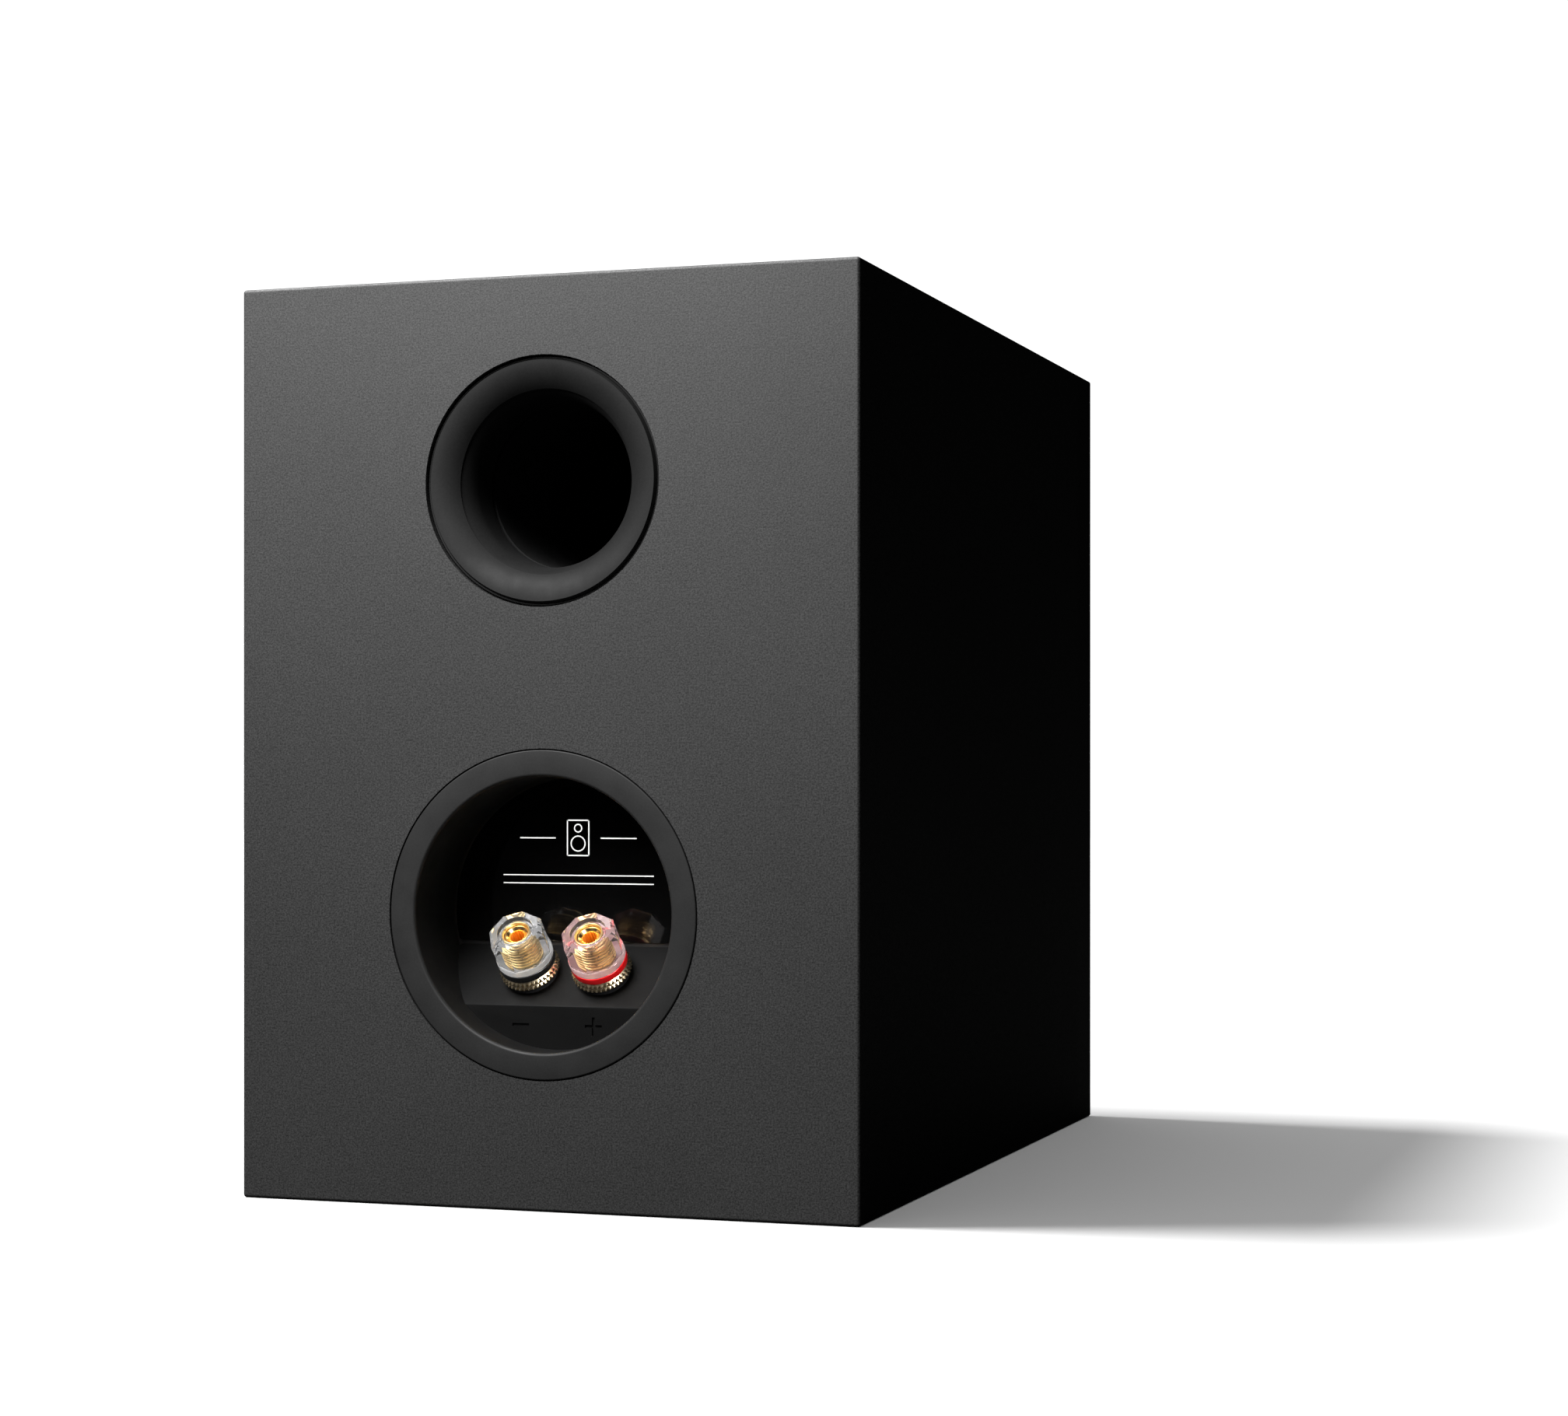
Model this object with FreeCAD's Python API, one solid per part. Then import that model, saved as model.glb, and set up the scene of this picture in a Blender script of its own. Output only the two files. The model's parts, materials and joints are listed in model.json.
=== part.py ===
"""Two-way bookshelf loudspeaker, built as separate pieces.

Millimetres. The origin is the centre of the underside, +Z is up, the drivers face -Y and the
port and the terminal cup are in the rear face at +Y. Driver profiles are given as (radius, depth),
where depth runs from the cabinet's front face towards the rear.
"""
import FreeCAD, Part
import math
import os

# cabinet
WIDTH = 160.0
DEPTH = 242.0
HEIGHT = 225.0
WALL = 12.0
BAFFLE = 18.0
REAR_WALL = 15.0
EDGE_R = 0.8
BRACE_Y = (-6.0, 6.0)
FRONT = -DEPTH / 2
REAR = DEPTH / 2
INNER_REAR = REAR - REAR_WALL
INNER_X = WIDTH / 2 - WALL
INNER_TOP = HEIGHT - WALL

# bass-reflex port
PORT_Z = 175.4
PORT_FLANGE_R = 30.0
PORT_THROAT_R = 20.3
PORT_RECESS_GAP = 0.3
PORT_WALL = 2.2
PORT_END_Y = -28.0
SPIGOT_DEPTH = 19.0

# terminal cup
CUP_Z = 71.2
CUP_FLANGE_R = 39.6
CUP_FLANGE_T = 3.0
CUP_RECESS_GAP = 0.35
CUP_BORE_R = 33.2
CUP_WALL = 2.5
CUP_DEPTH = 24.0
STEP_DEPTH = 10.0
STEP_TOP_Z = 48.6
LIP_R = 0.8
LABEL_T = 0.4
GASKET_T = 0.8

# binding posts, stations s measured along each post's axis from the slope
POST_X = 9.5
POST_UP_SLOPE = 10.4
STUD_R = 3.0
THREAD_GAP = 0.05
BANANA_R = 2.05
BANANA_DEPTH = 20.0
STUD_TOP = 14.2
STUD_BOTTOM = -12.0
FOOT_TOP = 2.2
COLLAR_TOP = 4.7
RING_TOP = 6.1
KNOB_FLANGE_TOP = 7.9
KNOB_SIDE_TOP = 14.7
KNOB_TOP = 15.7

# drivers
WOOFER_Z = 75.0
WOOFER_R = 68.0
WOOFER_FLANGE_T = 6.0
WOOFER_CUTOUT_R = 58.5
WOOFER_SCREW_R = 63.5
WOOFER_SCREWS = 6
TWEETER_Z = 182.0
TWEETER_R = 36.0
TWEETER_FLANGE_T = 4.0
TWEETER_CUTOUT_R = 27.0
TWEETER_SCREW_R = 31.5
TWEETER_SCREWS = 4
REBATE_GAP = 0.3
DRIVER_GASKET_T = 1.0

# grille sockets
SOCKET_X = 70.0
SOCKET_Z = (12.0, 213.0)
SOCKET_R = 4.5
SOCKET_BORE_R = 2.7
SOCKET_T = 12.0
SOCKET_BORE_DEPTH = 9.5

# crossover
BOARD_Z = 18.0
BOARD_T = 1.6
BOARD_X = 52.0
BOARD_Y = (14.0, 88.0)
BOARD_HOLE_INSET = 5.0
WIRE_R = 1.0

X = FreeCAD.Vector(1, 0, 0)
Y = FreeCAD.Vector(0, 1, 0)
Z = FreeCAD.Vector(0, 0, 1)
HALF_RIGHT = math.sqrt(0.5)


def vec(x, y, z):
    return FreeCAD.Vector(x, y, z)


def box(x0, x1, y0, y1, z0, z1):
    return Part.makeBox(x1 - x0, y1 - y0, z1 - z0, vec(x0, y0, z0))


def rod(radius, start, axis, length):
    return Part.makeCylinder(radius, length, start, axis)


def outline_face(points):
    """Closed face in the XZ plane. A point is (x, z), or (xm, zm, x, z) for an arc through xm, zm."""
    edges = []
    last = vec(points[0][0], 0, points[0][1])
    for point in points[1:] + [points[0]]:
        end = vec(point[-2], 0, point[-1])
        if len(point) == 4:
            edges.append(Part.Arc(last, vec(point[0], 0, point[1]), end).toShape())
        elif (end - last).Length > 1e-6:
            edges.append(Part.LineSegment(last, end).toShape())
        last = end
    return Part.Face(Part.Wire(edges))


def turned(points, angle=360.0):
    """Solid of revolution about Z from a closed outline of (radius, height) points."""
    return outline_face(points).revolve(vec(0, 0, 0), Z, angle)


def ring(outer, inner, low, high):
    return turned([(inner, low), (outer, low), (outer, high), (inner, high)])


def polygon_prism(sides, across_corners_r, low, high, phase=0.0):
    corners = []
    for i in range(sides + 1):
        a = math.radians(phase + 360.0 * i / sides)
        corners.append(vec(across_corners_r * math.cos(a), across_corners_r * math.sin(a), low))
    return Part.Face(Part.makePolygon(corners)).extrude(vec(0, 0, high - low))


def facing_front(shape, z):
    """Take a shape from lathe axes (Z is depth behind the front face) into the cabinet."""
    rotation = FreeCAD.Rotation(X, -90)
    moved = shape.copy()
    moved.Placement = FreeCAD.Placement(vec(0, FRONT, z), rotation)
    return moved


def facing_rear(shape, z):
    """Take a shape from lathe axes (Z is depth behind the rear face) into the cabinet."""
    rotation = FreeCAD.Rotation(X, 90)
    moved = shape.copy()
    moved.Placement = FreeCAD.Placement(vec(0, REAR, z), rotation)
    return moved


def post_point(x, s):
    """Point at station s on a post's axis."""
    up = POST_UP_SLOPE * HALF_RIGHT
    foot_y = REAR - STEP_DEPTH - up
    foot_z = STEP_TOP_Z + up
    return vec(x, foot_y + s * HALF_RIGHT, foot_z + s * HALF_RIGHT)


def on_post(shape, x):
    """Take a shape from post axes (Z along the stud, 0 at the slope) into the cup."""
    moved = shape.copy()
    moved.Placement = FreeCAD.Placement(post_point(x, 0.0), FreeCAD.Rotation(X, -45))
    return moved


def around(shape, count, radius, phase=0.0):
    """Copies of a shape on a circle about Z, each kept upright."""
    copies = []
    for i in range(count):
        a = math.radians(phase + 360.0 * i / count)
        item = shape.copy()
        item.translate(vec(radius * math.cos(a), radius * math.sin(a), 0))
        copies.append(item)
    return copies


def tube(points, radius):
    """Round wire along straight runs joined by tangent arcs."""
    corners = [vec(*p) for p in points]
    edges = []
    last = corners[0]
    for before, corner, after in zip(corners, corners[1:], corners[2:]):
        into = (corner - before).normalize()
        out = (after - corner).normalize()
        half_turn = into.getAngle(out) / 2
        shorter = min((corner - before).Length, (after - corner).Length)
        trim = 0.45 * shorter
        bend_r = trim / math.tan(half_turn)
        start = corner - into * trim
        end = corner + out * trim
        inward = (out - into).normalize()
        middle = corner + inward * (bend_r / math.cos(half_turn) - bend_r)
        edges.append(Part.LineSegment(last, start).toShape())
        edges.append(Part.Arc(start, middle, end).toShape())
        last = end
    edges.append(Part.LineSegment(last, corners[-1]).toShape())
    path = Part.Wire(edges)
    section = Part.Wire([Part.makeCircle(radius, corners[0], corners[1] - corners[0])])
    solid = path.makePipeShell([section], True, False)
    return Part.Solid(solid) if solid.ShapeType != "Solid" else solid


def group(solids):
    return Part.makeCompound(solids)


def save(parts):
    os.makedirs("parts", exist_ok=True)
    for name, shape in parts.items():
        for solid in shape.Solids:
            if not solid.isValid() or solid.Volume <= 0:
                raise ValueError(name + " has a faulty solid")
        shape.exportStep("parts/" + name + ".step")
    print(len(parts), "nodes")


# ---------------------------------------------------------------- cabinet

def rounded_block():
    block = box(-WIDTH / 2, WIDTH / 2, FRONT, REAR, 0, HEIGHT)
    return block.makeFillet(EDGE_R, block.Edges)


def mitred_panel(block, corners):
    """Wall between the front and rear boards; its two long ends are cut at 45 degrees."""
    face = outline_face(corners)
    face.translate(vec(0, FRONT + BAFFLE, 0))
    return face.extrude(vec(0, DEPTH - BAFFLE - REAR_WALL, 0)).common(block)


def cabinet_walls(block):
    x = WIDTH / 2
    outer = [(-x, 0), (x, 0), (x, HEIGHT), (-x, HEIGHT)]
    inner = [(-INNER_X, WALL), (INNER_X, WALL), (INNER_X, INNER_TOP), (-INNER_X, INNER_TOP)]
    names = ["bottom_panel", "right_panel", "top_panel", "left_panel"]
    walls = {}
    for i, name in enumerate(names):
        j = (i + 1) % 4
        walls[name] = mitred_panel(block, [outer[i], outer[j], inner[j], inner[i]])
    return walls


def socket_places():
    return [(sx * SOCKET_X, z) for sx in (-1, 1) for z in SOCKET_Z]


def front_baffle(block):
    board = block.common(box(-WIDTH, WIDTH, FRONT, FRONT + BAFFLE, 0, HEIGHT))
    woofer_rebate = WOOFER_FLANGE_T + DRIVER_GASKET_T
    tweeter_rebate = TWEETER_FLANGE_T + DRIVER_GASKET_T
    cuts = [
        facing_front(rod(WOOFER_R + REBATE_GAP, vec(0, 0, -1), Z, woofer_rebate + 1), WOOFER_Z),
        facing_front(rod(WOOFER_CUTOUT_R, vec(0, 0, -1), Z, BAFFLE + 2), WOOFER_Z),
        facing_front(rod(TWEETER_R + REBATE_GAP, vec(0, 0, -1), Z, tweeter_rebate + 1), TWEETER_Z),
        facing_front(rod(TWEETER_CUTOUT_R, vec(0, 0, -1), Z, BAFFLE + 2), TWEETER_Z),
    ]
    for x, z in socket_places():
        cuts.append(rod(SOCKET_R + 0.02, vec(x, FRONT - 1, z), Y, SOCKET_T + 1.02))
    woofer_pilots = around(rod(1.82, vec(0, 0, 0), Z, 17.2), WOOFER_SCREWS, WOOFER_SCREW_R, 30)
    tweeter_pilots = around(rod(1.42, vec(0, 0, 0), Z, 15.2), TWEETER_SCREWS, TWEETER_SCREW_R, 45)
    cuts += facing_front(group(woofer_pilots), WOOFER_Z).Solids
    cuts += facing_front(group(tweeter_pilots), TWEETER_Z).Solids
    return board.cut(cuts)


def rear_panel(block):
    board = block.common(box(-WIDTH, WIDTH, INNER_REAR, REAR, 0, HEIGHT))
    port_floor = 3.0 + GASKET_T
    cup_floor = CUP_FLANGE_T + GASKET_T
    cuts = [
        rod(PORT_FLANGE_R + PORT_RECESS_GAP, vec(0, REAR - port_floor, PORT_Z), Y, port_floor + 1),
        rod(27.8, vec(0, INNER_REAR - 1, PORT_Z), Y, REAR_WALL + 1),
        rod(CUP_FLANGE_R + CUP_RECESS_GAP, vec(0, REAR - cup_floor, CUP_Z), Y, cup_floor + 1),
        rod(CUP_BORE_R + CUP_WALL + 0.5, vec(0, INNER_REAR - 1, CUP_Z), Y, REAR_WALL + 1),
    ]
    return board.cut(cuts)


def cabinet_brace():
    """Window brace across the middle of the cabinet; the duct rests in its round hole."""
    low, high = BRACE_Y
    board = box(-INNER_X, INNER_X, low, high, WALL, INNER_TOP)
    window = box(-48, 48, low - 1, high + 1, 30, 135)
    upright = [edge for edge in window.Edges if abs(edge.tangentAt(edge.FirstParameter).y) > 0.9]
    window = window.makeFillet(14, upright)
    duct_hole = rod(PORT_THROAT_R + PORT_WALL + 0.05, vec(0, low - 1, PORT_Z), Y, high - low + 2)
    return board.cut(window).cut(duct_hole)


# ---------------------------------------------------------------- port

def port_flare():
    """Flush flange, quarter-round flare and a socket for the duct, as depths from the rear face."""
    flare_r = PORT_FLANGE_R - PORT_THROAT_R
    shell_r = flare_r - 2.5
    bend = HALF_RIGHT * flare_r
    flange_t = 3.0
    rise = flare_r - flange_t
    run = math.sqrt(shell_r ** 2 - rise ** 2)
    back_angle = math.atan2(rise, run) / 2
    back_middle_r = PORT_FLANGE_R - shell_r * math.cos(back_angle)
    back_middle_t = flare_r - shell_r * math.sin(back_angle)
    duct_r = PORT_THROAT_R + PORT_WALL
    outline = [
        (PORT_FLANGE_R, 0),
        (PORT_FLANGE_R - bend, flare_r - bend, PORT_THROAT_R, flare_r),
        (PORT_THROAT_R, SPIGOT_DEPTH),
        (duct_r + 0.05, SPIGOT_DEPTH),
        (duct_r + 0.05, SPIGOT_DEPTH + 10),
        (duct_r + 2.3, SPIGOT_DEPTH + 10),
        (duct_r + 2.3, SPIGOT_DEPTH - 2),
        (PORT_FLANGE_R - shell_r, SPIGOT_DEPTH - 5),
        (PORT_FLANGE_R - shell_r, flare_r),
        (back_middle_r, back_middle_t, PORT_FLANGE_R - run, flange_t),
        (PORT_FLANGE_R, flange_t),
    ]
    return facing_rear(turned(outline), PORT_Z)


def port_duct():
    start = SPIGOT_DEPTH
    end = REAR - PORT_END_Y
    lip = PORT_WALL / 2
    inner = PORT_THROAT_R
    outer = PORT_THROAT_R + PORT_WALL
    outline = [
        (inner, start),
        (outer, start),
        (outer, end - lip),
        (inner + lip, end, inner, end - lip),
    ]
    return facing_rear(turned(outline), PORT_Z)


def port_gasket():
    return facing_rear(ring(PORT_FLANGE_R - 0.2, 27.9, 3.0, 3.0 + GASKET_T), PORT_Z)


# ---------------------------------------------------------------- terminal cup

def step_block(offset):
    """The step and 45 degree slope under the posts, drawn back from the cup's inside by offset."""
    step_y = REAR - STEP_DEPTH - offset
    back_y = REAR - CUP_DEPTH - offset
    corner = STEP_TOP_Z + REAR - STEP_DEPTH - offset / HALF_RIGHT
    points = [
        vec(-60, back_y - 30, CUP_Z - 60),
        vec(-60, step_y, CUP_Z - 60),
        vec(-60, step_y, corner - step_y),
        vec(-60, back_y, corner - back_y),
        vec(-60, back_y - 30, corner - back_y),
    ]
    return Part.Face(Part.makePolygon(points + points[:1])).extrude(vec(120, 0, 0))


def engraved_marks():
    """Minus and plus sunk into the step below the posts."""
    depth = 0.4
    face = REAR - STEP_DEPTH
    z = 43.9
    long = 2.2
    thin = 0.35
    bars = [(POST_X, long, thin), (-POST_X, long, thin), (-POST_X, thin, long)]
    marks = [box(x - a, x + a, face - depth, face + 1, z - b, z + b) for x, a, b in bars]
    return group([marks[0], marks[1].fuse(marks[2])])


def cup_bore():
    bore = [
        (0, -1),
        (CUP_BORE_R + LIP_R, -1),
        (CUP_BORE_R + LIP_R, 0),
        (CUP_BORE_R + LIP_R * (1 - HALF_RIGHT), LIP_R * (1 - HALF_RIGHT), CUP_BORE_R, LIP_R),
        (CUP_BORE_R, CUP_DEPTH),
        (0, CUP_DEPTH),
    ]
    return facing_rear(turned(bore), CUP_Z)


def terminal_cup():
    shell = rod(CUP_BORE_R + CUP_WALL, vec(0, REAR - CUP_DEPTH - CUP_WALL, CUP_Z), Y, CUP_DEPTH + CUP_WALL)
    shell = shell.cut(step_block(CUP_WALL))
    flange = rod(CUP_FLANGE_R, vec(0, REAR - CUP_FLANGE_T, CUP_Z), Y, CUP_FLANGE_T)
    cup = shell.fuse(flange).cut(cup_bore().cut(step_block(0.0)))
    post_axis = vec(0, HALF_RIGHT, HALF_RIGHT)
    for x in (-POST_X, POST_X):
        cup = cup.cut(rod(5.0, post_point(x, -CUP_WALL - 5), post_axis, CUP_WALL + 7))
    return cup.cut(engraved_marks()).removeSplitter()


def terminal_label():
    """Glossy plate on the cup's upright back wall, trimmed to the round bore."""
    low = STEP_TOP_Z + CUP_DEPTH - STEP_DEPTH + 1.0
    back = REAR - CUP_DEPTH
    disc = rod(CUP_BORE_R - 0.4, vec(0, back, CUP_Z), Y, LABEL_T)
    return disc.common(box(-60, 60, back, back + LABEL_T, low, CUP_Z + 60))


def terminal_gasket():
    inner = CUP_BORE_R + CUP_WALL + 0.6
    return facing_rear(ring(CUP_FLANGE_R - 0.3, inner, CUP_FLANGE_T, CUP_FLANGE_T + GASKET_T), CUP_Z)


# ---------------------------------------------------------------- binding posts

def post_stud():
    """Threaded stud with two flats, a banana-plug bore and a cross hole for bare wire."""
    stud = rod(STUD_R, vec(0, 0, STUD_BOTTOM), Z, STUD_TOP - STUD_BOTTOM)
    flat = 2.7
    for side in (-1, 1):
        low, high = sorted((side * flat, side * (flat + 2)))
        stud = stud.cut(box(low, high, -4, 4, COLLAR_TOP, STUD_TOP + 1))
    stud = stud.cut(rod(BANANA_R, vec(0, 0, STUD_TOP - BANANA_DEPTH), Z, BANANA_DEPTH + 1))
    countersink = Part.makeCone(BANANA_R, BANANA_R + 0.6, 0.6, vec(0, 0, STUD_TOP - 0.6), Z)
    wire_hole = rod(1.2, vec(-5, 0, 6.3), X, 10)
    return stud.cut(countersink).cut(wire_hole)


def post_insulator():
    """Foot on the slope with a spigot through the cup's hole."""
    bore = STUD_R + THREAD_GAP
    return turned([(bore, -CUP_WALL + 0.1), (4.95, -CUP_WALL + 0.1), (4.95, 0), (6.8, 0),
                   (6.8, FOOT_TOP - 0.4), (6.4, FOOT_TOP), (bore, FOOT_TOP)])


def post_collar():
    """Collar with a knurled rim: two rows of short ribs."""
    collar = ring(7.25, STUD_R + THREAD_GAP, FOOT_TOP, COLLAR_TOP)
    ribs = 30
    height = (COLLAR_TOP - FOOT_TOP) / 2 - 0.2
    teeth = []
    for row in (0, 1):
        low = FOOT_TOP + 0.15 + row * (height + 0.1)
        tooth = rod(0.35, vec(0, 0, low), Z, height)
        teeth += around(tooth, ribs, 7.2, row * 180.0 / ribs)
    return collar.multiFuse(teeth)


def post_inner_insulator():
    return ring(6.8, STUD_R + THREAD_GAP, -CUP_WALL - 2.0, -CUP_WALL)


def post_lug():
    """Solder lug: a ring on the stud and a tail that points up the slope."""
    top = -CUP_WALL - 2.0
    eye = rod(5.2, vec(0, 0, top - 0.8), Z, 0.8)
    tail = box(-1.8, 1.8, -12.0, -4.0, top - 0.8, top)
    return eye.fuse(tail).cut(rod(STUD_R + THREAD_GAP, vec(0, 0, top - 2), Z, 4)).removeSplitter()


def post_nut():
    top = -CUP_WALL - 2.8
    bore = rod(STUD_R + THREAD_GAP, vec(0, 0, top - 4), Z, 5)
    return polygon_prism(6, 5.77, top - 3.2, top).cut(bore)


def post_washer():
    """Captive washer, keyed to the stud's flats, that presses a wire onto the collar."""
    low = COLLAR_TOP + 0.05
    disc = rod(4.45, vec(0, 0, low), Z, RING_TOP - low - 0.1)
    keyed = rod(STUD_R + THREAD_GAP, vec(0, 0, low - 1), Z, 4)
    return disc.cut(keyed.common(box(-2.75, 2.75, -4, 4, low - 1, low + 3)))


def post_ring():
    return ring(7.1, 4.8, COLLAR_TOP + 0.05, RING_TOP)


def post_knob():
    """Clear octagonal knob on a round flange, chamfered and dished at the top."""
    body = polygon_prism(8, 7.0, KNOB_FLANGE_TOP - 0.1, KNOB_TOP, 22.5)
    envelope = turned([(0, 0), (7.2, 0), (7.2, KNOB_SIDE_TOP), (6.2, KNOB_TOP), (0, KNOB_TOP)])
    flange = rod(7.1, vec(0, 0, RING_TOP), Z, KNOB_FLANGE_TOP - RING_TOP)
    knob = body.common(envelope).fuse(flange)
    knob = knob.cut(rod(3.9, vec(0, 0, RING_TOP - 1), Z, KNOB_TOP))
    return knob.cut(rod(4.6, vec(0, 0, KNOB_TOP - 1.3), Z, 3)).removeSplitter()


def post_insert():
    """Threaded insert moulded into the knob, grooved so that it grips the plastic."""
    bore = STUD_R + THREAD_GAP
    insert = ring(3.9, bore, RING_TOP, KNOB_TOP - 1.3)
    grooves = []
    for i in range(4):
        low = RING_TOP + 1.0 + i * 1.9
        grooves.append(ring(4.2, 3.6, low, low + 0.7))
    return insert.cut(grooves)


# ---------------------------------------------------------------- woofer

CONE_EDGE = (44.0, 5.0)
CONE_MIDDLE = (29.0, 12.6)
CONE_NECK = (13.1, 25.0)
CONE_T = 0.9


def cone_depth(radius):
    """Depth of the cone's front surface at a radius: an arc through edge, middle and neck."""
    circle = Part.Arc(vec(CONE_EDGE[0], 0, CONE_EDGE[1]), vec(CONE_MIDDLE[0], 0, CONE_MIDDLE[1]),
                      vec(CONE_NECK[0], 0, CONE_NECK[1])).toShape().Curve
    reach = math.sqrt(circle.Radius ** 2 - (radius - circle.Center.x) ** 2)
    side = 1 if circle.Center.z < CONE_MIDDLE[1] else -1
    return circle.Center.z + side * reach


def sector_cuts(inner, outer, low, high, count, width_deg, phase):
    """Window cutters spread about the axis."""
    blank = turned([(inner, low), (outer, low), (outer, high), (inner, high)], width_deg)
    cutters = []
    for i in range(count):
        item = blank.copy()
        item.rotate(vec(0, 0, 0), Z, phase + 360.0 * i / count - width_deg / 2)
        cutters.append(item)
    return cutters


def woofer_basket():
    frame = turned([
        (WOOFER_R, 0), (WOOFER_R, WOOFER_FLANGE_T), (58, WOOFER_FLANGE_T), (58, 8), (44, 27),
        (44, 30.5), (40.5, 44), (24, 44), (24, 41.5), (37.8, 41.5), (38.6, 30.5), (34.5, 30.5),
        (34.5, 28), (41.3, 28), (41.3, 25.6), (53.8, 9), (53.8, 5), (60, 5), (60, 0)])
    frame = frame.cut(sector_cuts(36, 62, 9.5, 24.5, 6, 44, 90))
    frame = frame.cut(sector_cuts(30, 46, 32, 40.5, 6, 44, 90))
    holes = []
    for item in around(rod(2.1, vec(0, 0, -1), Z, 9), WOOFER_SCREWS, WOOFER_SCREW_R, 30):
        holes.append(item)
    for item in around(Part.makeCone(3.9, 2.1, 1.8, vec(0, 0, 0), Z), WOOFER_SCREWS, WOOFER_SCREW_R, 30):
        holes.append(item)
    return frame.cut(holes)


def woofer_gasket():
    flat = ring(WOOFER_R - 0.2, 58.8, WOOFER_FLANGE_T, WOOFER_FLANGE_T + DRIVER_GASKET_T)
    return flat.cut(around(rod(2.1, vec(0, 0, 0), Z, 9), WOOFER_SCREWS, WOOFER_SCREW_R, 30))


def woofer_trim_ring():
    return turned([(55.0, 0.8), (55.4, 0.4), (59.4, 0.4), (59.8, 0.8), (59.8, 4.4), (55.0, 4.4)])


def woofer_surround():
    """Half-roll rubber surround between the cone's lip and the frame's ledge."""
    roll_r = 3.6
    inner_r = 3.0
    middle = 50.4
    return turned([
        (59.8, 5.0), (59.8, 4.4), (middle + roll_r, 4.4),
        (middle, 4.4 - roll_r, middle - roll_r, 4.4),
        (44.2, 4.4), (44.2, 5.0), (middle - inner_r, 5.0), (middle - inner_r, 4.4),
        (middle, 4.4 - inner_r, middle + inner_r, 4.4), (middle + inner_r, 5.0)])


def woofer_cone():
    rim = 47.2
    back_shift = 0.5
    edge_r, edge_t = CONE_EDGE
    mid_r, mid_t = CONE_MIDDLE
    neck_r, neck_t = CONE_NECK
    return turned([
        (rim, edge_t), (edge_r, edge_t), (mid_r, mid_t, neck_r, neck_t), (neck_r, neck_t + 1.4),
        (mid_r + back_shift, mid_t + CONE_T, edge_r + back_shift, edge_t + CONE_T), (rim, edge_t + CONE_T)])


def woofer_dust_cap():
    """Shallow dome glued over the neck of the cone."""
    edge = 18.6
    foot = cone_depth(edge) - 0.15
    rise = 6.0
    shell = 0.5
    sphere_r = (edge ** 2 + rise ** 2) / (2 * rise)
    half = math.asin(edge / sphere_r) / 2
    top = foot - rise
    centre = top + sphere_r
    inner_r = sphere_r - shell
    inner_edge = math.sqrt(inner_r ** 2 - (centre - foot) ** 2)
    inner_half = math.asin(inner_edge / inner_r) / 2
    return turned([
        (0, top),
        (sphere_r * math.sin(half), centre - sphere_r * math.cos(half), edge, foot),
        (inner_edge, foot),
        (inner_r * math.sin(inner_half), centre - inner_r * math.cos(inner_half), 0, top + shell)])


def woofer_spider():
    """Corrugated suspension from the former out to the frame's inner shelf."""
    half = 0.3
    middle = 27.7
    wave = 1.2
    first = 16.0
    pitch = 2.3
    front = [(13.12, middle - half)]
    back = [(13.12, middle + half)]
    for i in range(8):
        lift = wave if i % 2 == 0 else -wave
        front.append((first + i * pitch, middle - half - lift))
        back.append((first + i * pitch, middle + half - lift))
    front += [(34.4, middle - half), (41.0, middle - half)]
    back += [(34.4, middle + half), (41.0, middle + half)]
    return turned(front + back[::-1])


def woofer_motor():
    """Magnet system and voice coil, all about the woofer's axis."""
    yoke = turned([(4, 43.5), (11.6, 43.5), (12.2, 44.1), (12.2, 64), (36.4, 64), (37, 64.6),
                   (37, 68.4), (36.4, 69), (5, 69), (4, 68)])
    magnet = turned([(18, 49), (39.4, 49), (40, 49.6), (40, 63.4), (39.4, 64), (18, 64)])
    return {
        "woofer_former": ring(13.05, 12.8, 22, 52.8),
        "woofer_coil": ring(13.6, 13.05, 40.8, 52.4),
        "woofer_top_plate": ring(38, 14.2, 44, 49),
        "woofer_magnet": magnet,
        "woofer_yoke": yoke,
    }


def flat_screw(head_r, head_h, shank_r, length, socket_r):
    """Countersunk screw, head flush at depth 0, with a hexagon socket and a pointed end."""
    body = turned([(0, 0), (head_r, 0), (shank_r, head_h), (shank_r, length - 2), (0.3, length), (0, length)])
    return body.cut(polygon_prism(6, socket_r, -0.5, head_h * 0.8))


def woofer_tag_board():
    """Insulating strip on the top of the basket, drawn with its face tangent to the frame."""
    return box(-9, 9, FRONT + 27.2, FRONT + 41, WOOFER_Z + 44.05, WOOFER_Z + 45.65)


def tweeter_tag_board():
    return box(-8, 8, FRONT + 20.6, FRONT + 21.8, TWEETER_Z - 5, TWEETER_Z + 5)


def connector_tags():
    """Push-on blades of both drivers, one wide and one narrow on each board."""
    tags = []
    top = WOOFER_Z + 45.65
    rear = FRONT + 21.8
    for x, half in ((-4.5, 2.4), (4.5, 1.4)):
        tags.append(box(x - half, x + half, FRONT + 36, FRONT + 50, top, top + 0.8))
        tags.append(box(x - half, x + half, rear, rear + 7, TWEETER_Z - 0.4, TWEETER_Z + 0.4))
    return group(tags)


def woofer_leads():
    """Flexible leads from the tag board through a window in the basket to the back of the cone."""
    leads = []
    for x in (-4.5, 4.5):
        route = [(x, 26.9, 45.15), (x, 21, 47.5), (x * 0.95, 16, 40.5), (x * 0.9, 14.6, 30.4)]
        points = [(px, FRONT + depth, WOOFER_Z + r) for px, depth, r in route]
        leads.append(tube(points, 0.4))
    return group(leads)


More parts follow.
